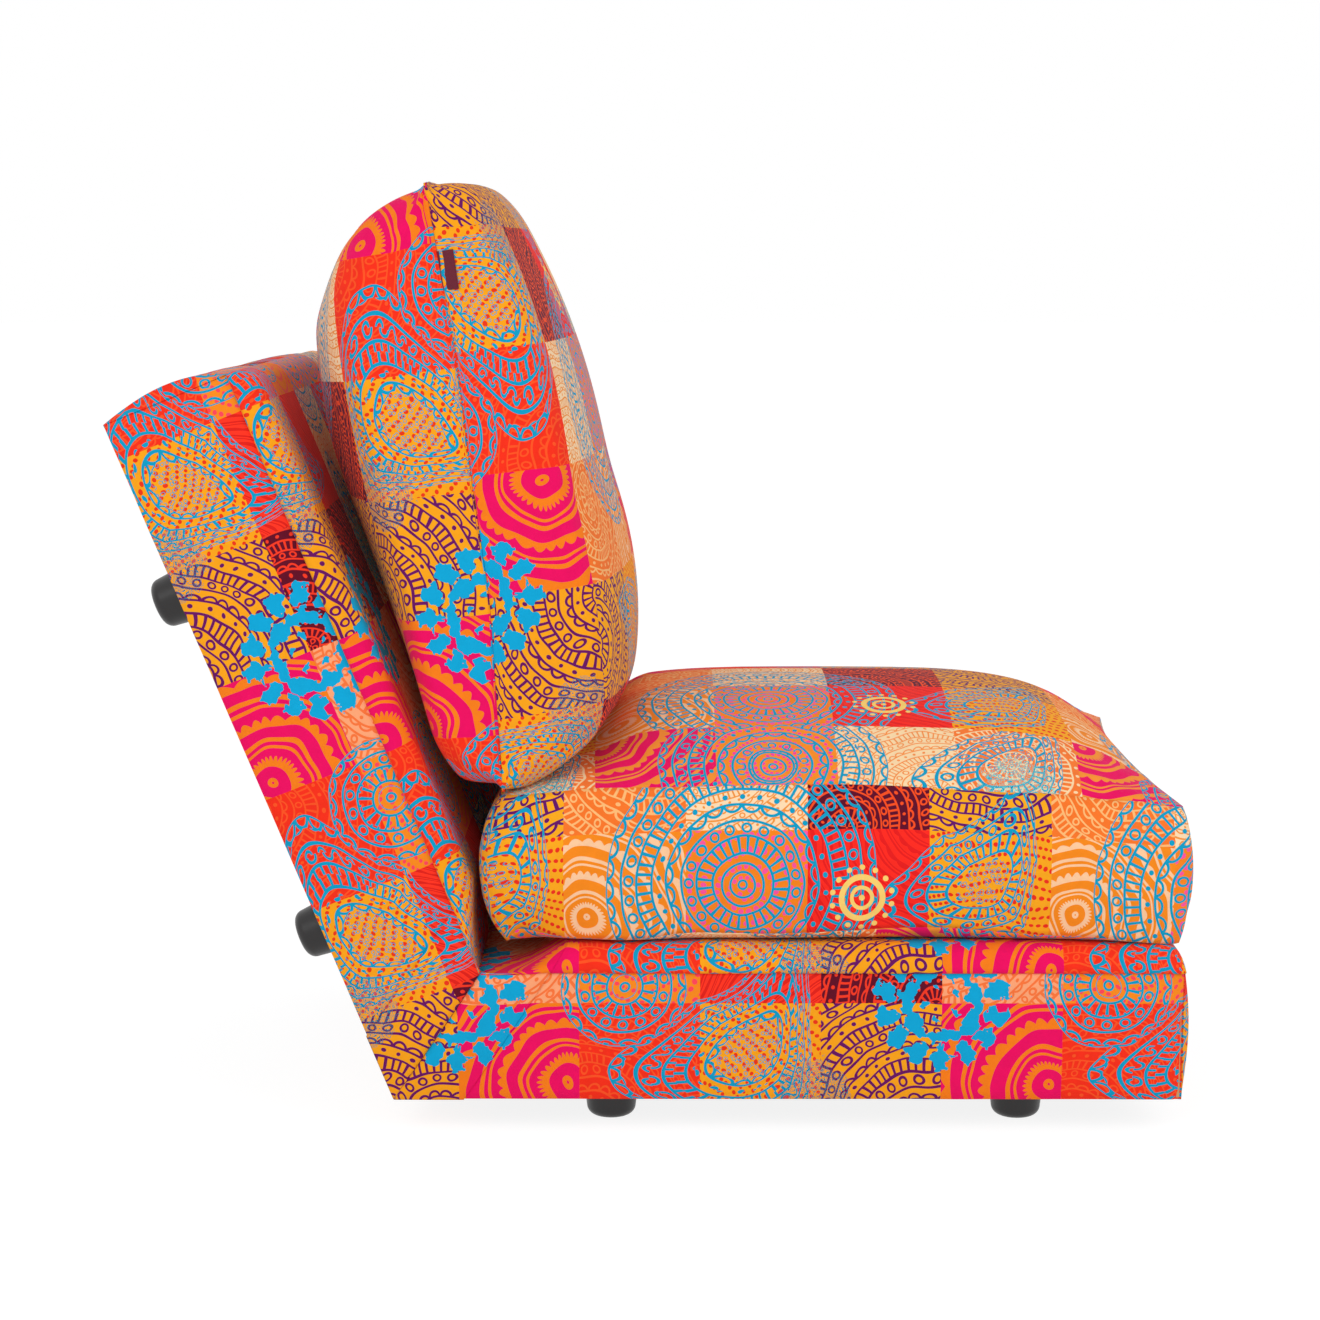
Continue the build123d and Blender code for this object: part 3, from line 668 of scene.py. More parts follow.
def sew(
    name: str, panels: Sequence[Panel], finishes: Sequence[Material], weld: float = 0.00005
) -> Piece:
    """Sews panels into one mesh, sharing the points where their edges meet.

    Args:
        name: The piece's name.
        panels: The grids of cloth.
        finishes: The materials that the panels number.
        weld: Points closer than this become one; zero keeps all.

    Returns:
        The piece, with a map named Cloth in metres.
    """
    mesh = bpy.data.meshes.new(name)
    points: list = []
    faces: list = []
    numbers: list = []
    cloth: list = []
    for panel in panels:
        rows, columns = panel.points.shape[:2]
        start = len(points)
        points.extend(panel.points.reshape(-1, 3).tolist())
        spans = columns if panel.closed else columns - 1
        for i in range(rows - 1):
            for j in range(spans):
                k = (j + 1) % columns
                corners = [(i, j, j), (i, k, j + 1), (i + 1, k, j + 1), (i + 1, j, j)]
                if panel.flip:
                    corners.reverse()
                faces.append([start + r * columns + c for r, c, _ in corners])
                cloth.append([tuple(panel.cloth[r, m]) for r, _, m in corners])
                numbers.append(panel.finish)
    mesh.from_pydata(points, [], faces)
    layer = mesh.uv_layers.new(name="Cloth")
    layer.data.foreach_set("uv", [value for face in cloth for corner in face for value in corner])
    mesh.polygons.foreach_set("material_index", numbers)
    mesh.polygons.foreach_set("use_smooth", [True] * len(faces))
    for finish in finishes:
        mesh.materials.append(finish)
    if weld:
        work = bmesh.new()
        work.from_mesh(mesh)
        bmesh.ops.remove_doubles(work, verts=work.verts, dist=weld)
        work.to_mesh(mesh)
        work.free()
    mesh.validate()
    piece = bpy.data.objects.new(name, mesh)
    bpy.context.collection.objects.link(piece)
    return piece


def thicken(piece: Piece, thickness: float, level: int = 0) -> None:
    """Gives a cloth piece its thickness inwards, and optionally smooths it."""
    if level:
        smooth = piece.modifiers.new("Smooth", "SUBSURF")
        smooth.levels = level
        smooth.render_levels = level
    shell = piece.modifiers.new("Thickness", "SOLIDIFY")
    shell.thickness = thickness
    shell.offset = -1.0
    if not level:
        even = piece.modifiers.new("Even", "WEIGHTED_NORMAL")
        even.weight = 100


def declare(piece: Piece, body: str, replaced: Sequence[str]) -> None:
    """Says which body a piece rides on, its material slot and the solids that it stands for."""
    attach(piece, body)
    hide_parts(*replaced)


def cover(
    name: str, panel: Panel, finish: Material, thickness: float, body: str, slot: str, *replaced: str
) -> Piece:
    """Makes a piece of one panel and says what it is.

    Args:
        name: The piece's name.
        panel: Its cloth.
        finish: Its material.
        thickness: Its thickness.
        body: The body that it rides on.
        slot: Its material slot.
        *replaced: The solids that it stands for.

    Returns:
        The piece.
    """
    piece = sew(name, [panel], [finish])
    thicken(piece, thickness)
    declare(piece, body, replaced)
    return piece


# Sections: the upholstered base and back


@dataclass
class Section:
    """One upholstered section and its measures from the fold corner."""

    name: str
    length: float
    along: Triple
    inward: Triple
    cloth_start: float
    cloth_sign: float
    end_crown: float = 0.004
    strip_rows: int = 14
    edge_steps: int = 8
    cell: float = 0.012
    edge_radius: float = 0.026
    seam_inset: float = 0.0015
    strip_swell: float = 0.0035
    corner_pinch: float = 0.004
    lining_inset: float = 0.006
    lining_thickness: float = 0.0006
    fold_trim: float = 0.13
    top_puff: float = 0.0012
    side_puff: float = 0.0014
    end_puff: float = 0.0016
    lining_sag: float = 0.0008
    tucks: tuple[float, float] = (0.018, 0.004)

    def place(self, u: float, y: float, d: float) -> Vector:
        """A place in the chair from a length along, a place across and a depth."""
        return FOLD_CORNER + Vector(self.along) * u + Vector(self.inward) * d + Vector((0.0, y, 0.0))

    def fold_start(self, d: float) -> float:
        """Length along the section where its own cloth starts beside the fold, at a depth."""
        return (FOLD_REACH + d * math.cos(FOLD_ANGLE)) / math.sin(FOLD_ANGLE)

    def cloth_u(self, u: float) -> float:
        """Place on the cloth for a length along the section."""
        return self.cloth_start + self.cloth_sign * u

    def profile(self) -> list[tuple[float, float]]:
        """Edge of the pad from its seam: distance inwards from the face and share of the pad's height."""
        rise = PAD_HEIGHT - self.edge_radius
        steps = [(self.seam_inset, 0.0), (0.0, 0.35 * rise / PAD_HEIGHT), (0.0, rise / PAD_HEIGHT)]
        for step in range(1, self.edge_steps + 1):
            angle = math.pi / 2 * step / self.edge_steps
            height = (rise + self.edge_radius * math.sin(angle)) / PAD_HEIGHT
            steps.append((self.edge_radius * (1 - math.cos(angle)), height))
        return steps

    def top_columns(self) -> list[Triple]:
        """Columns of the top panel: place across, share of the pad's height and way across the cloth."""
        edge = self.profile()
        side: list[Triple] = []
        way = 0.0
        before = edge[0]
        for inset, share in edge:
            way += math.hypot(inset - before[0], (share - before[1]) * PAD_HEIGHT)
            before = (inset, share)
            side.append((inset - CHAIR_HALF_WIDTH, share, way))
        flat = 2 * (CHAIR_HALF_WIDTH - self.edge_radius)
        count = int(flat / self.cell)
        steps = [flat * step / count for step in range(1, count)]
        middle = [(self.edge_radius - CHAIR_HALF_WIDTH + step, 1.0, way + step) for step in steps]
        whole = 2 * way + flat
        return side + middle + [(-y, share, whole - w) for y, share, w in reversed(side)]

    def top_panel(self) -> Panel:
        """Top panel, from beside the fold to the seam at the section's end."""
        flat_rows = int((self.length - self.fold_start(SECTION_DEPTH) - self.edge_radius) / self.cell)
        rows = [(share, self.edge_radius, 1.0, None) for share in np.linspace(0.0, 1.0, flat_rows)]
        edge = self.profile()[::-1]
        way_down = 0.0
        for before, (inset, height) in zip(edge, edge[1:]):
            way_down += math.hypot(inset - before[0], (height - before[1]) * PAD_HEIGHT)
            rows.append((1.0, inset, height, self.length - self.edge_radius + way_down))

        def spot(row: tuple, column: tuple) -> Placed:
            """Places one point."""
            along, inset, height, on_end = row
            y, share, way = column
            d = STRIP_HEIGHT + PAD_HEIGHT * share * height
            start = self.fold_start(d)
            u = start + (self.length - inset - start) * along
            place = self.place(u, y, d)
            puff = self.top_puff * rumple(place, 9.0) * (along * (1 - along) * 4) ** 0.5
            out = EDGE_SWELL * math.sin(math.pi * min(1.0, share * 2)) + puff
            place += Vector(self.inward) * puff * share
            place.y += (-1 if y < 0 else 1) * (1 - share) * out
            return place, (self.cloth_u(on_end or u), way + TOP_PRINT)

        return lay_out(rows, self.top_columns(), spot, flip=self.cloth_sign < 0)

    def strip_shape(self, d: float) -> float:
        """How far a strip's cloth stands out of the flat face at a depth."""
        share = min(max(d / STRIP_HEIGHT, 0.0), 1.0)
        return self.strip_swell * math.sin(math.pi * share) ** 0.6 - self.seam_inset * (share > 0.99)

    def strip_depths(self) -> list[tuple[float, float]]:
        """Depths of a strip's rows, with how far its lower edge is turned in under the section."""
        rows = [(STRIP_HEIGHT * k / self.strip_rows, 0.0) for k in range(self.strip_rows + 1)]
        return [(self.lining_thickness, tuck) for tuck in self.tucks] + rows

    def side_strip(self, side: int) -> Panel:
        """Side strip, on the near side (-1) or the far side (1)."""
        count = int(self.length / self.cell)

        def spot(row: tuple, step: int) -> Placed:
            """Places one point."""
            d, tuck = row
            start = self.fold_start(d)
            u = start + (self.length - start) * step / count
            smooth = self.side_puff * min(1.0, (u - start) / 0.080)
            swell = self.strip_shape(d) + smooth * rumple(self.place(u, 0.0, d), 14.0, 3.0 * side)
            inner = min(1.0, (self.length - u) / self.cell)
            y = CHAIR_HALF_WIDTH - tuck + swell * inner - self.corner_pinch * (1 - inner) ** 2
            return self.place(u, side * y, d), (self.cloth_u(u), d - tuck + STRIP_PRINT)

        return lay_out(self.strip_depths(), range(count + 1), spot, flip=(side > 0) == (self.cloth_sign > 0))

    def end_strip(self) -> Panel:
        """Strip across the section's end, between the two corner seams."""
        count = int(2 * CHAIR_HALF_WIDTH / self.cell)

        def spot(row: tuple, step: int) -> Placed:
            """Places one point."""
            d, tuck = row
            y = -CHAIR_HALF_WIDTH + 2 * CHAIR_HALF_WIDTH * step / count
            inner = min(1.0, (CHAIR_HALF_WIDTH - abs(y)) / self.cell)
            crown = self.end_crown * math.sin(math.pi * min(max(d / STRIP_HEIGHT, 0.0), 1.0))
            swell = self.strip_shape(d) + crown + self.end_puff * rumple(self.place(self.length, y, d), 12.0)
            pinched = y * (1 - self.corner_pinch / CHAIR_HALF_WIDTH) if inner < 1 else y
            way = self.length + CHAIR_HALF_WIDTH + y
            point = self.place(self.length - tuck + swell * inner, pinched, d)
            return point, (self.cloth_u(way), d - tuck + STRIP_PRINT)

        return lay_out(self.strip_depths(), range(count + 1), spot, flip=self.cloth_sign > 0)

    def lining(self) -> Panel:
        """Lining stretched over the outer face, with a slight sag between the frame's boards."""
        start, stop = self.fold_start(0.0), self.length - self.lining_inset
        half = CHAIR_HALF_WIDTH - self.lining_inset

        def spot(u: float, y: float) -> Placed:
            """Places one point."""
            edge = min((u - start) / 0.1, (stop - u) / 0.1, (half - abs(y)) / 0.1, 1.0)
            d = 0.0012 + self.lining_sag * edge * rumple(self.place(u, y, 0.0), 8.0)
            return self.place(u, y, d), (u, y)

        places = np.linspace(start, stop, 40), np.linspace(-half, half, 36)
        return lay_out(*places, spot, flip=self.cloth_sign > 0)

    def build(self, cotton: Material, lining: Material) -> None:
        """Makes and dresses the section's covers."""
        name = self.name
        replaced = (f"{name}_cover_top", f"{name}_foam")
        panel = self.top_panel()
        top = cover(f"{name}_pad_cover", panel, cotton, COVER_THICKNESS, name, "print_cloth", *replaced)
        side_length, height = self.length - self.fold_trim, STRIP_HEIGHT + TURNED_IN
        for side, panel, length in (
            ("right", self.side_strip(-1), side_length),
            ("left", self.side_strip(1), side_length),
            ("end", self.end_strip(), 2 * CHAIR_HALF_WIDTH),
        ):
            solid = f"{name}_cover_strip_{side}"
            strip = cover(f"{name}_strip_{side}", panel, cotton, STRIP_THICKNESS, name, "print_cloth", solid)
        solid = f"{name}_cover_under"
        under = cover(f"{name}_lining", self.lining(), lining, self.lining_thickness, name, "lining", solid)
        length = self.length - self.fold_start(0.0) - self.lining_inset
        LOG.info("covers of the %s section", name)


@dataclass
class FoldCloth:
    """Cloth over the mitred fold: it bridges the two sections and follows both."""

    base: Section
    back: Section
    rows: int = 13
    crease_depth: float = 0.006
    press_depth: float = 0.042
    side_crease: float = 0.009
    crease_reach: float = 0.030
    flat_below: float = 0.05

    def across_rows(self) -> list[float]:
        """Distances across the fold, closer together at the crease."""
        shares = np.linspace(0.0, 1.0, self.rows)
        reaches = [FOLD_REACH * share ** 1.5 for share in shares]
        return reaches[::-1] + [-r for r in reaches[1:]]

    def spot(self, reach: float, y: float, d: float) -> tuple[Vector, float]:
        """A place at a distance across the fold, with its length along the cloth.

        Args:
            reach: Distance from the mitre, above zero on the base and below zero on the back.
            y: Place across the chair.
            d: Depth from the outer face.

        Returns:
            The place and its length along the cloth.
        """
        section = self.base if reach >= 0 else self.back
        u = (abs(reach) + d * math.cos(FOLD_ANGLE)) / math.sin(FOLD_ANGLE)
        return section.place(u, y, d), section.cloth_u(u)

    def inwards(self) -> Vector:
        """Direction of the mitre, from the fold corner inwards."""
        return Vector((math.cos(FOLD_ANGLE), 0.0, math.sin(FOLD_ANGLE)))

    def pinch(self, reach: float) -> float:
        """Share of the crease's depth at a distance across the fold."""
        return max(0.0, 1.0 - abs(reach) / self.crease_reach) ** 2

    def swell(self, reach: float) -> float:
        """How far the side stands out beside the crease, at a distance across the fold."""
        return self.side_crease * math.sin(math.pi * math.sqrt(min(1.0, abs(reach) / FOLD_REACH)))

    def top(self) -> Panel:
        """Cloth over the pads at the fold."""

        def spot(reach: float, column: tuple) -> Placed:
            """Places one point."""
            y, share, way = column
            place, u = self.spot(reach, y, STRIP_HEIGHT + PAD_HEIGHT * share)
            out = EDGE_SWELL * math.sin(math.pi * min(1.0, share * 2)) + self.swell(reach)
            place.y += (-1 if y < 0 else 1) * (1 - share) * out
            pressed = (1 - min(1.0, abs(reach) / FOLD_REACH) ** (4.0 if reach > 0 else 2.0)) ** 1.3
            depth = self.pinch(reach) * self.crease_depth + pressed * self.press_depth
            return place - self.inwards() * depth * share, (u, way + TOP_PRINT)

        return lay_out(self.across_rows(), self.base.top_columns(), spot, flip=True)

    def side(self, side: int) -> Panel:
        """Cloth on one side of the fold, below the seam."""

        def spot(reach: float, d: float) -> Placed:
            """Places one point."""
            place, u = self.spot(reach, 0.0, d)
            stand_out = self.base.strip_shape(d) + self.swell(reach) * min(1.0, d / self.flat_below)
            place.y = side * (CHAIR_HALF_WIDTH + stand_out)
            return place, (u, d + STRIP_PRINT)

        rows = self.base.strip_rows
        depths = [STRIP_HEIGHT * step / rows for step in range(rows + 1)]
        return lay_out(self.across_rows(), depths, spot, flip=side < 0)

    def corner(self) -> Panel:
        """Cloth round the lower rear corner."""

        def spot(reach: float, y: float) -> Placed:
            """Places one point."""
            place, u = self.spot(reach, y, 0.0)
            return place, (u, STRIP_PRINT - (y + CHAIR_HALF_WIDTH))

        return lay_out(self.across_rows(), np.linspace(-CHAIR_HALF_WIDTH, CHAIR_HALF_WIDTH, 58), spot)

    def build(self, cotton: Material) -> None:
        """Makes the cloth and lets it bend between the two sections."""
        panels = [self.top(), self.side(-1), self.side(1), self.corner()]
        piece = sew("fold_cloth", panels, [cotton], weld=0.0)
        thicken(piece, STRIP_THICKNESS)
        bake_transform(piece)
        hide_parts("fold_cover")
        LOG.info("cloth over the fold")


# Cushions


def settle(
    piece: Piece,
    pinned: Sequence[int],
    pressure: float = 3.0,
    growth: float = 0.015,
    frames: int = 20,
    cap: float = 0.010,
) -> None:
    """Lets a sewn cushion swell and crease as cloth, with its seams held.

    Args:
        piece: The closed cushion.
        pinned: Points that stay, at the seams.
        pressure: Pressure inside.
        growth: Share by which the cloth is larger than its form.
        frames: Frames of the simulation.
        cap: Furthest that a point may move.
    """
    before = np.array([v.co for v in piece.data.vertices])
    group = piece.vertex_groups.new(name="seams")
    group.add(list(pinned), 1.0, "REPLACE")
    cloth = piece.modifiers.new("Cloth", "CLOTH")
    settings = cloth.settings
    settings.quality = 6
    settings.mass = 0.25
    settings.tension_stiffness = 12
    settings.compression_stiffness = 12
    settings.shear_stiffness = 4
    settings.bending_stiffness = 0.4
    settings.use_pressure = True
    settings.uniform_pressure_force = pressure
    settings.vertex_group_mass = "seams"
    settings.pin_stiffness = 1.0
    settings.shrink_min = -growth
    settings.effector_weights.gravity = 0.0
    cloth.point_cache.frame_start = 1
    cloth.point_cache.frame_end = frames
    for step in range(1, frames + 1):
        bpy.context.scene.frame_set(step)
    evaluated = piece.evaluated_get(bpy.context.evaluated_depsgraph_get())
    after = np.array([v.co for v in evaluated.data.vertices])
    piece.modifiers.remove(cloth)
    piece.vertex_groups.remove(group)
    bpy.context.scene.frame_set(1)
    moved = after - before
    reach = np.linalg.norm(moved, axis=1, keepdims=True)
    moved *= cap * np.tanh(reach / cap) / np.maximum(reach, 1e-9)
    piece.data.vertices.foreach_set("co", (before + moved).reshape(-1))
    piece.data.update()
    LOG.info("%s swelled by up to %.1f mm", piece.name, float(reach.max()) / MILLIMETRE)


def part_out(piece: Piece, names: Sequence[str]) -> list[Piece]:
    """Splits a sewn cushion into its panels, by their finish numbers.

    Args:
        piece: The sewn cushion, whose finish numbers count its panels.
        names: The panels' names.

    Returns:
        The panels.
    """
    panels = []
    for number, name in enumerate(names):
        work = bmesh.new()
        work.from_mesh(piece.data)
        gone = [f for f in work.faces if f.material_index != number]
        bmesh.ops.delete(work, geom=gone, context="FACES")
        mesh = bpy.data.meshes.new(name)
        work.to_mesh(mesh)
        work.free()
        mesh.materials.clear()
        mesh.materials.append(piece.data.materials[number])
        mesh.polygons.foreach_set("material_index", [0] * len(mesh.polygons))
        mesh.polygons.foreach_set("use_smooth", [True] * len(mesh.polygons))
        panel = bpy.data.objects.new(name, mesh)
        bpy.context.collection.objects.link(panel)
        panels.append(panel)
    bpy.data.objects.remove(piece)
    return panels


def panels_at_points(piece: Piece) -> dict[int, set[int]]:
    """Numbers of the panels that meet at each point of a sewn cushion."""
    found: dict[int, set[int]] = {}
    for face in piece.data.polygons:
        for vertex in face.vertices:
            found.setdefault(vertex, set()).add(face.material_index)
    return found


def dress_cushion(piece: Piece, body: str, panels: dict[str, tuple[str, ...]]) -> None:
    """Parts a settled cushion into its panels and says what each is.

    Args:
        piece: The cushion.
        body: The body that it rides on.
        panels: The solids that each panel stands for, by the panel's name.
    """
    for panel, replaced in zip(part_out(piece, tuple(panels)), panels.values()):
        thicken(panel, COVER_THICKNESS, 1)
        declare(panel, body, replaced)


def between(places: Sequence[float], values: Sequence[float], x: float) -> float:
    """Value at x on a smooth line through places."""
    x = min(max(x, places[0]), places[-1])
    for index in range(len(places) - 1):
        if x <= places[index + 1]:
            share = (x - places[index]) / (places[index + 1] - places[index])
            share = share * share * (3 - 2 * share)
            return values[index] + (values[index + 1] - values[index]) * share
    return values[-1]


@dataclass
class SeatCushion:
    """Loose seat cushion: a crowned top, a bulging gusset with pinched corners and a bottom."""

    rear: float = -0.1876
    length: float = 0.822
    half_width: float = 0.340
    floor: float = 0.2303
    crown: float = 0.5007
    cells_along: int = 68
    cells_across: int = 56
    cells_up: int = 13
    front_bulge: float = 0.020
    rear_bulge: float = 0.030
    side_bulge: float = 0.012
    front_corner_bulge: float = 0.013
    rear_corner_bulge: float = 0.034
    front_drawn: float = 0.072
    rear_drawn: float = 0.012
    waist: float = 0.012
    corner_round: tuple[float, float] = (0.006, 0.028)
    end_arch: float = 0.012
    shoulder: float = 0.420
    pucker_depth: float = 0.0012
    top_print: tuple[float, float] = (-0.245, 2 * PATCH + 0.030)
    gusset_print: tuple[float, float] = (-0.208, 4 * PATCH - 0.121)
    gusset_height: float = 0.170
    pressed: float = 0.5
    pressed_places: tuple[float, float] = (-0.78, -0.58)
    zip_room: float = 0.012
    seam_places: tuple[float, ...] = (-1.0, -0.7, 0.0, 0.55, 0.85, 1.0)
    seam_heights: tuple[float, ...] = (0.414, 0.424, 0.428, 0.418, 0.408, 0.3985)
    hem_places: tuple[float, ...] = (-1.0, -0.80, -0.66, -0.43, -0.22, 0.25, 0.64, 1.0)
    hem_heights: tuple[float, ...] = (0.2520, 0.2400, 0.2367, 0.2460, 0.2445, 0.2525, 0.2427, 0.2308)

    def plan(self, a: float, b: float) -> tuple[float, float]:
        """Plan place at shares from -1 to 1 along and across, with drawn-in sides and round corners."""
        x = self.rear + self.length / 2
        half = self.length / 2
        drawn = self.front_drawn if a > 0 else self.rear_drawn
        round_x, round_y = self.corner_round
        x += a * half * (1 - round_x * b ** 10 - drawn * (1 - abs(b) ** 2.5))
        y = b * self.half_width * (1 - round_y * a ** 10 - self.waist * (1 - a * a))
        return x, y

    def seam_top(self, a: float, b: float) -> float:
        """Height of the top seam at a place on the rim."""
        side = between(self.seam_places, self.seam_heights, a)
        end = self.end_arch * (1 - b * b) * (1 if a > 0 else 0.6)
        return side + (end if abs(a) >= abs(b) else 0.0)

    def seam_bottom(self, a: float, b: float) -> float:
        """Height of the bottom seam at a place on the rim."""
        side = between(self.hem_places, self.hem_heights, a)
        return side if abs(b) > abs(a) else self.floor + 0.004 + 0.003 * math.cos(b * 9)

    def rim(self) -> list[tuple[float, float]]:
        """Shares round the cushion's rim: near side, front, far side and rear."""
        along = [-1 + 2 * i / self.cells_along for i in range(self.cells_along)]
        across = [-1 + 2 * j / self.cells_across for j in range(self.cells_across)]
        return (
            [(a, -1.0) for a in along]
            + [(1.0, b) for b in across]
            + [(-a, 1.0) for a in along]
            + [(-1.0, -b) for b in across]
        )

    def rise(self, a: float, b: float) -> float:
        """Share of the crown's rise at shares along and across, pressed down under the back cushion."""
        rise = ((1 - abs(a) ** 4.0) * (1 - abs(b) ** 2.3)) ** 0.9
        return rise * (1 - self.pressed * between(self.pressed_places, (1.0, 0.0), a))

    def pucker(self, x: float, y: float, seed: float) -> float:
        """Small in-and-out of a seam."""
        place = Vector((x, y, 0.0))
        return rumple(place, 45.0, seed) + 0.6 * rumple(place, 90.0, seed)

    def face(self, top: bool) -> Panel:
        """Top or bottom panel."""

        def spot(a: float, b: float) -> Placed:
            """Places one point."""
            x, y = self.plan(a, b)
            ring = max(abs(a), abs(b), 1e-6)
            if not top:
                z = self.floor + (self.seam_bottom(a / ring, b / ring) - self.floor) * ring ** 24
                return (x, y, z), (x - FOLD_X, y)
            edge = self.seam_top(a / ring, b / ring) * ring ** 4 + self.shoulder * (1 - ring ** 4)
            z = edge + (self.crown - self.shoulder) * self.rise(a, b)
            beside_seam = max(0.0, 1 - (1 - ring) * 5) * (ring < 0.999)
            z += self.pucker_depth * self.pucker(x, y, 5.0) * beside_seam
            print_x, print_y = self.top_print
            return (x, y, z), (x - FOLD_X + print_x, y + self.half_width + print_y)

        along = [-1 + 2 * i / self.cells_along for i in range(self.cells_along + 1)]
        across = [-1 + 2 * j / self.cells_across for j in range(self.cells_across + 1)]
        return lay_out(along, across, spot, finish=0 if top else 2, flip=top)

    def gusset(self) -> Panel:
        """Band round the sides, bulging between its seams."""
        rim = self.rim()
        plans = [self.plan(a, b) for a, b in rim]
        count = len(rim)
        ways = [plans[0][0] - FOLD_X + self.gusset_print[0]]
        for index in range(count):
            ways.append(ways[-1] + math.dist(plans[index], plans[(index + 1) % count]))

        def spot(share: float, number: int) -> Placed:
            """Places one point."""
            index = number % count
            a, b = rim[index]
            x, y = plans[index]
            before, after = plans[index - 1], plans[(index + 1) % count]
            normal = Vector((after[1] - before[1], before[0] - after[0])).normalized()
            low, high = self.seam_bottom(a, b), self.seam_top(a, b)
            corner = min(1.0, 3.2 * (1 - min(abs(a), abs(b))))
            bulge = self.front_bulge if a == 1 else self.rear_bulge if a == -1 else self.side_bulge
            at_corner = self.front_corner_bulge if a > 0 else self.rear_corner_bulge
            bulge = at_corner + (bulge - at_corner) * corner
            out = bulge * math.sin(math.pi * share) ** 0.8
            beside_seam = (2 * abs(share - 0.5)) ** 3 * (0 < share < 1)
            out += self.pucker_depth * self.pucker(x, y, 5.0 if share > 0.5 else 11.0) * beside_seam
            point = (x + normal.x * out, y + normal.y * out, low + (high - low) * share)
            return point, (ways[number], share * self.gusset_height + self.gusset_print[1])

        heights = [k / self.cells_up for k in range(self.cells_up + 1)]
        panel = lay_out(heights, range(count + 1), spot, finish=1, closed=True)
        panel.points = panel.points[:, :-1]
        return panel

    def build(self, cotton: Material) -> None:
        """Sews, settles and dresses the cushion; its bottom and the cloth beside the zip are held."""
        piece = sew("seat_cushion", [self.face(True), self.gusset(), self.face(False)], [cotton] * 3)
        found = panels_at_points(piece)
        held = {point for point, panels in found.items() if len(panels) > 1 or panels == {2}}
        low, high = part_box("seat_zip")
        for point in piece.data.vertices:
            behind = point.co.x < high[0] + self.zip_room
            if behind and low[2] - self.zip_room < point.co.z < high[2] + self.zip_room:
                held.add(point.index)
        settle(piece, sorted(held))
        dress_cushion(piece, "seat_cushion", {
            "seat_top_panel": ("seat_cover_top", "seat_core"),
            "seat_gusset": ("seat_cover_gusset",),
            "seat_bottom_panel": ("seat_cover_bottom",),
        })
        LOG.info("seat cushion")


Shares = tuple[tuple[float, float], ...]


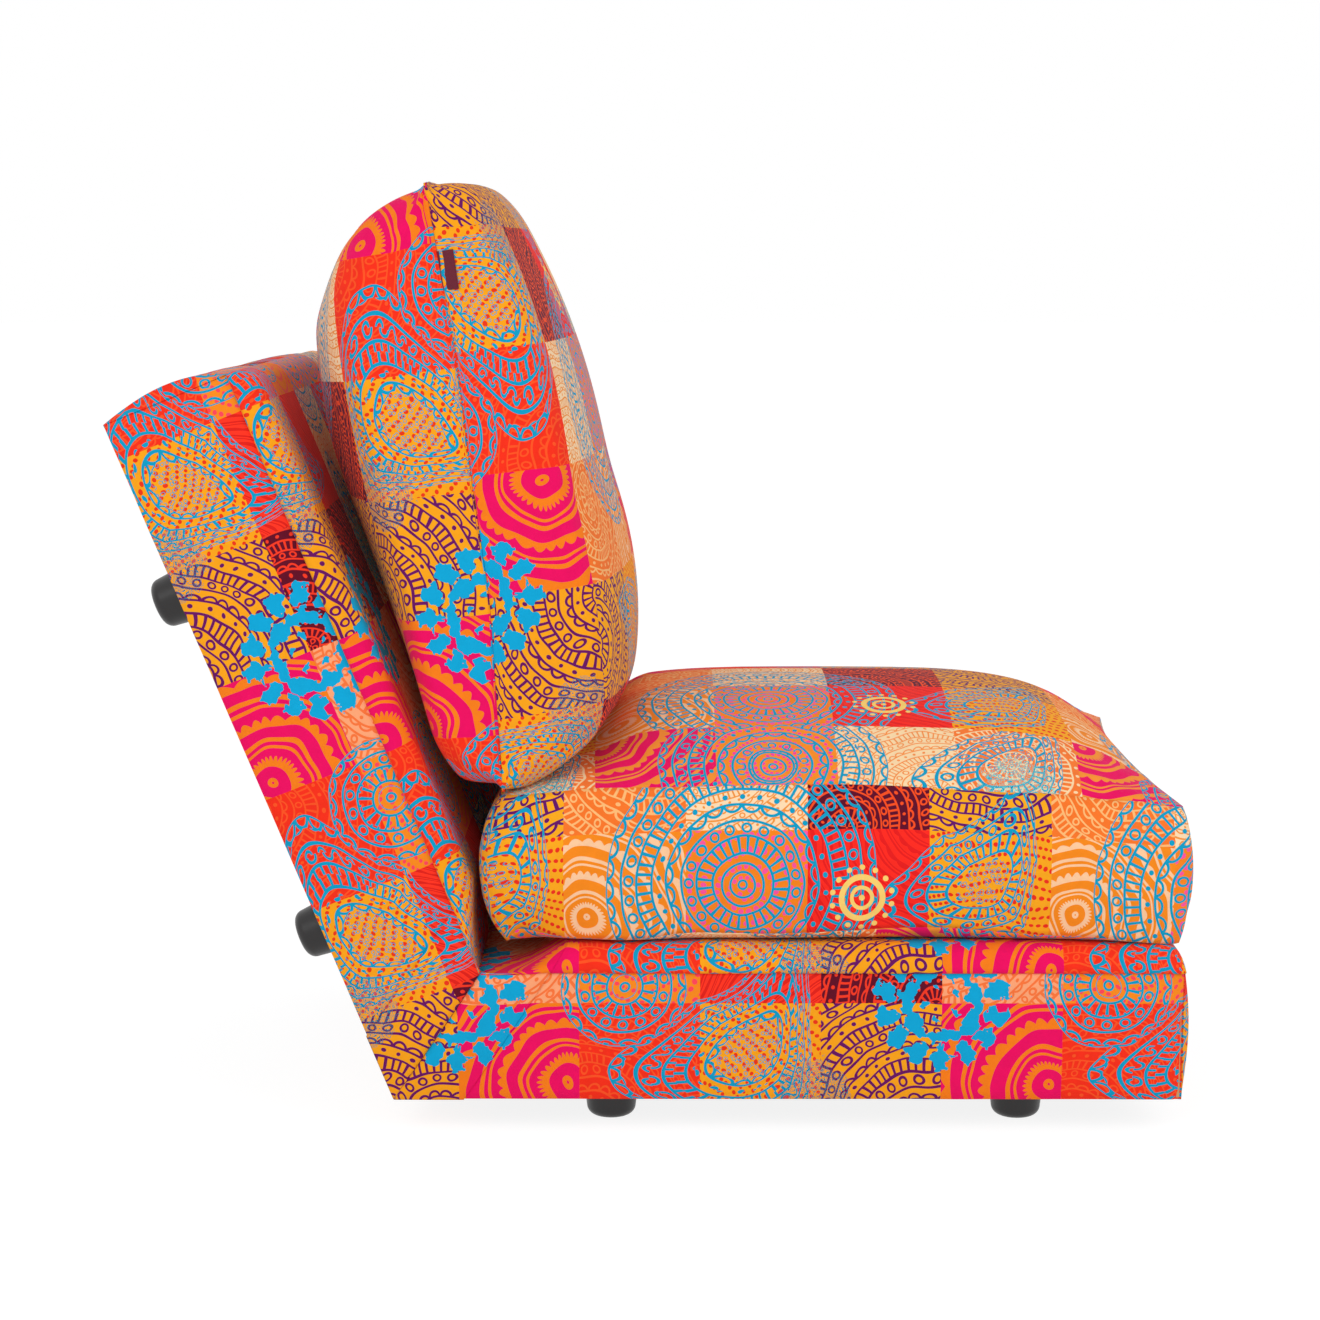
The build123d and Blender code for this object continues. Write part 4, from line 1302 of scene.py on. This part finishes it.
@dataclass
class BackCushion:
    """Loose back cushion: front and rear panels joined by a seam all round, with boxed upper corners."""

    back: Section
    half_width: float = 0.348
    height: float = 0.722
    depth: float = 0.350
    low: float = 0.2797
    rear: float = 0.1883
    cells_up: int = 72
    cells_across: int = 58
    cells_side: int = 12
    rear_edge: Shares = (
        (0.028, 0.225), (0.058, 0.075), (0.15, 0.04), (0.72, 0.225), (0.90, 0.325),
        (0.984, 0.50), (0.996, 0.77),
    )
    rear_middle: Shares = (
        (0.028, 0.225), (0.068, 0.04), (0.168, 0.0), (0.66, 0.01), (0.87, 0.13),
        (0.985, 0.38), (0.996, 0.77),
    )
    rear_arch: tuple[float, ...] = (0.2, 0.2, 0.0, 0.2, 0.3, 0.7)
    front_edge: Shares = (
        (0.028, 0.225), (0.013, 0.43), (0.103, 0.69), (0.435, 0.85), (0.87, 0.945),
        (0.968, 0.915), (0.996, 0.77),
    )
    front_middle: Shares = (
        (0.028, 0.225), (0.018, 0.48), (0.08, 0.77), (0.435, 0.955), (0.88, 1.005),
        (0.976, 0.94), (0.996, 0.77),
    )
    front_arch: tuple[float, ...] = (0.9, 1.0, 1.4, 1.2, 0.3, 0.5)
    side_seam: Shares = (
        (0.028, 0.225), (0.175, 0.325), (0.333, 0.435), (0.542, 0.542), (0.73, 0.649),
        (0.90, 0.725), (0.996, 0.77),
    )
    arch: float = 0.012
    arc_steps: int = 24
    smoothings: int = 10
    drawn_in: float = 0.88
    end_hold: float = 0.10
    rear_print: float = 0.071
    front_print: float = 0.053
    tab_start: float = 0.080
    tab_length: float = 0.046
    tab_width: float = 0.019

    def spot(self, h: float, d: float) -> tuple[float, float]:
        """Length up the back and depth, from shares of the cushion's height and depth."""
        return self.low + h * self.height, self.rear + d * self.depth

    def curve(
        self, shares: Shares, arches: Sequence[float] | None = None, sign: float = 1.0
    ) -> list[tuple[float, float]]:
        """Evenly spaced points on an outline of arcs, from the cushion's foot to its head.

        Args:
            shares: Corner places as shares of height and depth.
            arches: Swell of each stretch, or none for straight.
            sign: Side on which the arcs swell.

        Returns:
            Places as length up the back and depth.
        """
        corners = [Vector(self.spot(*share)) for share in shares]
        fine: list[Vector] = []
        for index in range(len(corners) - 1):
            one, two = corners[index], corners[index + 1]
            way = two - one
            normal = Vector((way.y, -way.x)).normalized() * sign
            swell = self.arch * (arches[index] if arches else 0.0)
            for step in range(self.arc_steps):
                share = step / self.arc_steps
                fine.append(one + way * share + normal * swell * 4 * share * (1 - share))
        fine.append(corners[-1])
        for _ in range(self.smoothings):
            inner = [(fine[i - 1] + fine[i] * 2 + fine[i + 1]) / 4 for i in range(1, len(fine) - 1)]
            fine = [fine[0], *inner, fine[-1]]
        ways = [0.0]
        for one, two in zip(fine, fine[1:]):
            ways.append(ways[-1] + (two - one).length)
        wanted = np.linspace(0.0, ways[-1], self.cells_up + 1)
        axes = [np.interp(wanted, ways, [point[axis] for point in fine]) for axis in (0, 1)]
        return [(float(length), float(depth)) for length, depth in zip(*axes)]

    def panel(self, rear: bool) -> Panel:
        """Front or rear panel, from one side seam over its face to the other."""
        arches, sign = (self.rear_arch, 1.0) if rear else (self.front_arch, -1.0)
        edge = self.curve(self.rear_edge if rear else self.front_edge, arches, sign)
        middle = self.curve(self.rear_middle if rear else self.front_middle, arches, sign)
        seam = self.curve(self.side_seam)
        centre = Vector(self.spot(0.5, 0.5))
        foot, head = Vector(seam[0]), Vector(seam[-1])
        upwards = (head - foot).normalized()

        def up_and_aside(place: Vector) -> tuple[float, float]:
            """Way up the side seam's line and distance from it."""
            way = place - foot
            return upwards.dot(way), abs(upwards.x * way.y - upwards.y * way.x)

        rows = []
        cloths = []
        for i in range(self.cells_up + 1):
            share_up = i / self.cells_up
            start, rim, crest = Vector(seam[i]), Vector(edge[i]), Vector(middle[i])
            hold = self.drawn_in + self.end_hold * abs(2 * share_up - 1) ** 10
            shrunk = centre + (rim - centre) * hold
            side = []
            for k in range(self.cells_side):
                share = k / self.cells_side
                place = start + (shrunk - start) * share
                belly = math.sin(math.pi * share) * 0.004 * math.sin(math.pi * share_up) ** 0.5
                groove = 0.003 * (1 - min(1.0, share * 5)) ** 2
                side.append((place, self.half_width + belly - groove, *up_and_aside(place)))
            face = []
            edge_way = up_and_aside(shrunk)[1]
            for j in range(self.cells_across + 1):
                b = -1 + 2 * j / self.cells_across
                drawn = (1 - hold) * max(0.0, (abs(b) - 0.86) / 0.14) ** 2.6
                full = max(0.0, 1 - (abs(b) / 0.95) ** 2.2)
                place = rim + (crest - rim) * full
                place = centre + (place - centre) * (1 - drawn)
                y = b * self.half_width
                face.append((place, y, up_and_aside(place)[0], edge_way + (y + self.half_width)))
            whole = 2 * edge_way + 2 * self.half_width
            near = [(place, -y, up, way) for place, y, up, way in side]
            far = [(place, y, up, whole - way) for place, y, up, way in reversed(side)]
            line = near + face + far
            rows.append([tuple(self.back.place(place.x, y, place.y)) for place, y, _, _ in line])
            cloths.append([(up, way) for _, _, up, way in line])
        points = np.array(rows)
        cloth = np.array(cloths)
        ways = np.cumsum(np.linalg.norm(np.diff(points, axis=0, prepend=points[:1]), axis=2), axis=0)
        on_face = slice(self.cells_side, self.cells_side + self.cells_across + 1)
        half_way = self.cells_up // 2
        straight = cloth[:, on_face, 0].copy()
        even = np.clip(1 - np.abs(np.linspace(-1, 1, self.cells_across + 1) / 0.98) ** 6, 0.0, 1.0)
        curved = straight[half_way] + ways[:, on_face] - ways[half_way, on_face]
        cloth[:, on_face, 0] = straight + (curved - straight) * even
        from_top = (head - foot).length - cloth[:, :, 0]
        if rear:
            cloth[:, :, 0] = from_top - self.rear_print + PATCH
        else:
            cloth[:, :, 0] = 3 * PATCH - (from_top - self.front_print)
        cloth[:, :, 1] = PATCH - cloth[:, :, 1]
        return Panel(points, cloth, finish=1 if rear else 0, flip=not rear)

    def tab(self, piece: Piece, ribbon: Material) -> None:
        """Lays a folded ribbon on the side, held in the side seam.

        Args:
            piece: The settled cushion.
            ribbon: The ribbon's material.
        """
        surface = BVHTree.FromPolygons(
            [v.co for v in piece.data.vertices], [tuple(face.vertices) for face in piece.data.polygons]
        )
        seam = [Vector(point) for point in self.curve(self.side_seam)]
        start = next(point for point in reversed(seam) if (seam[-1] - point).length > self.tab_start)
        downwards = (seam[self.cells_up // 2] - start).normalized()
        frontwards = Vector((-downwards.y, downwards.x)) * (-1 if downwards.x > 0 else 1)

        def spot(down: float, aside: float) -> Placed:
            """Places one point."""
            place = start + downwards * down - frontwards * aside
            aim = self.back.place(place.x, -1.0, place.y)
            hit = surface.ray_cast(aim, Vector((0.0, 1.0, 0.0)))[0] or aim
            lift = 0.0016 + 0.0035 * (aside / self.tab_width) ** 2
            return (hit.x, hit.y - lift, hit.z), (down, aside)

        places = np.linspace(0.0, self.tab_length, 12), np.linspace(0.0, self.tab_width, 7)
        panel = lay_out(*places, spot, flip=True)
        folded = cover("maroon_tab", panel, ribbon, 0.0012, "back_cushion", "tab_cloth", "pillow_tab")
        LOG.info("tab")

    def build(self, cotton: Material, ribbon: Material) -> None:
        """Sews, settles and dresses the cushion."""
        piece = sew("back_cushion", [self.panel(False), self.panel(True)], [cotton] * 2)
        settle(piece, sorted(point for point, panels in panels_at_points(piece).items() if len(panels) > 1))
        self.tab(piece, ribbon)
        dress_cushion(piece, "back_cushion", {
            "back_cushion_front": ("pillow_cover_front", "pillow_filling"),
            "back_cushion_rear": ("pillow_cover_rear",),
        })
        LOG.info("back cushion")


# Carried-over pieces, studio and camera


def dress_nodes(finishes: dict[str, Material]) -> None:
    """Gives each piece of the frame that shows as built its finish.

    Args:
        finishes: Materials by the part of a node's name that they belong to.
    """
    for name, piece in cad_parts.items():
        if piece.hide_render:
            continue
        finish = next((made for key, made in finishes.items() if key in name), None)
        if finish is None:
            LOG.warning("no finish for %s", name)
            continue
        for slot in piece.material_slots:
            slot.material = finish
        LOG.info("%s dressed", name)


@dataclass
class Studio:
    """Plain pale floor, soft lamps and the camera at the photographed angle."""

    camera_place: Triple = (0.0124, -3.59, 1.0556)
    camera_pitch: float = 8.34
    camera_yaw: float = 0.2
    focal_length: float = 75.3
    floor_white: float = 0.74
    floor_glow: float = 1.17
    floor_size: float = 40.0
    room_light: float = 0.60

    def floor(self) -> None:
        """Makes the floor, which shows nearly white to the camera."""
        bench = Bench("studio_floor")
        pale = bench.grain(bench.object_place(), 1.5) * 0.02 + 0.93
        bench.finish(bench.grey(pale), 0.9, Specular_IOR_Level=0.1)
        glow = bench.node("ShaderNodeEmission", None, {"Strength": self.floor_glow})
        bench.show_to_camera(glow, self.floor_white)
        mesh = bpy.data.meshes.new("floor")
        far = self.floor_size
        mesh.from_pydata([(-far, -far, 0), (far, -far, 0), (far, far, 0), (-far, far, 0)], [], [(0, 1, 2, 3)])
        mesh.materials.append(bench.owner)
        floor = bpy.data.objects.new("floor", mesh)
        bpy.context.collection.objects.link(floor)

    def lamp(self, name: str, place: Triple, power: float, size: float) -> None:
        """Adds one soft lamp that faces the chair."""
        data = bpy.data.lights.new(name, "AREA")
        data.energy = power
        data.size = size
        lamp = bpy.data.objects.new(name, data)
        lamp.location = place
        lamp.rotation_euler = (Vector((0.0, 0.0, 0.5)) - Vector(place)).to_track_quat("-Z", "Y").to_euler()
        bpy.context.collection.objects.link(lamp)

    def world(self) -> None:
        """Lights the room evenly and shows white behind the chair."""
        bench = Bench("studio", "worlds")
        white = (1.0, 1.0, 1.0, 1.0)
        bench.feed(bench.shader.inputs["Color"], white)
        bench.feed(bench.shader.inputs["Strength"], self.room_light)
        bench.show_to_camera(bench.node("ShaderNodeBackground", None, {"Color": white, "Strength": 1.0}))
        bpy.context.scene.world = bench.owner

    def camera(self) -> None:
        """Places the camera."""
        data = bpy.data.cameras.new("camera")
        data.lens = self.focal_length
        data.sensor_width = 36.0
        camera = bpy.data.objects.new("camera", data)
        camera.location = self.camera_place
        camera.rotation_euler = (math.radians(90 - self.camera_pitch), 0.0, math.radians(self.camera_yaw))
        bpy.context.collection.objects.link(camera)
        bpy.context.scene.camera = camera

    def build(self) -> None:
        """Sets up the studio."""
        self.floor()
        self.world()
        self.lamp("key_lamp", (-1.6, -3.4, 3.0), 56.0, 2.4)
        self.lamp("fill_lamp", (3.0, -2.2, 2.2), 32.0, 2.4)
        self.camera()
        bpy.context.scene.view_settings.view_transform = "Standard"


def main() -> None:
    """Builds the upholstery, dresses every piece and sets up the studio."""
    logging.basicConfig(level=logging.INFO, format="%(message)s")
    cotton = PrintedCotton().make()
    lining = WovenFinish("dust_lining", (38, 36, 40), (22, 21, 24), 0.0022, 0.9).make()
    lean_sin, lean_cos = math.sin(BACK_LEAN), math.cos(BACK_LEAN)
    base = Section("base", 0.955, (1, 0, 0), (0, 0, 1), -0.079, 1.0)
    up, inward = (-lean_sin, 0, lean_cos), (lean_cos, 0, lean_sin)
    back = Section("back", 0.880, up, inward, -0.0403, -1.0, end_crown=0.012)
    for section in (base, back):
        section.build(cotton, lining)
    FoldCloth(base, back).build(cotton)
    SeatCushion().build(cotton)
    ribbon = WovenFinish("maroon_ribbon", (116, 14, 44), (92, 8, 34), 0.0008).make()
    BackCushion(back).build(cotton, ribbon)
    nickel = ((150, 140, 120), (120, 112, 100), (80,) * 3, 0.35)
    sawn = ((206, 164, 108), (170, 122, 70))
    finishes = {
        "zip_slider": PlainFinish("zip_metal", *nickel, metal=1.0),
        "zip_pull": PlainFinish("zip_pull_metal", *nickel, metal=1.0),
        "zip": WovenFinish("zip_tape", (216, 122, 50), (186, 96, 40), 0.0012),
        "slats": PlainFinish("birch", (214, 178, 128), (188, 148, 100), (30, 3, 30), 0.55),
        "rail": PlainFinish("pine", *sawn, (4, 40, 40), 0.6),
        "board": PlainFinish("pine_board", *sawn, (40, 4, 40), 0.6),
        "screws": PlainFinish("zinc_screws", (172, 172, 168), (140, 140, 138), (200,) * 3, 0.35, metal=1.0),
        "foot": PlainFinish("black_plastic", (14, 11, 12), (24, 20, 21), (90, 90, 90), 0.36),
        "hinge": PlainFinish("zinc_steel", (176, 176, 170), (140, 140, 136), (120,) * 3, 0.32, metal=1.0),
    }
    dress_nodes({key: finish.make() for key, finish in finishes.items()})
    Studio().build()


if __name__ == "__main__":
    main()
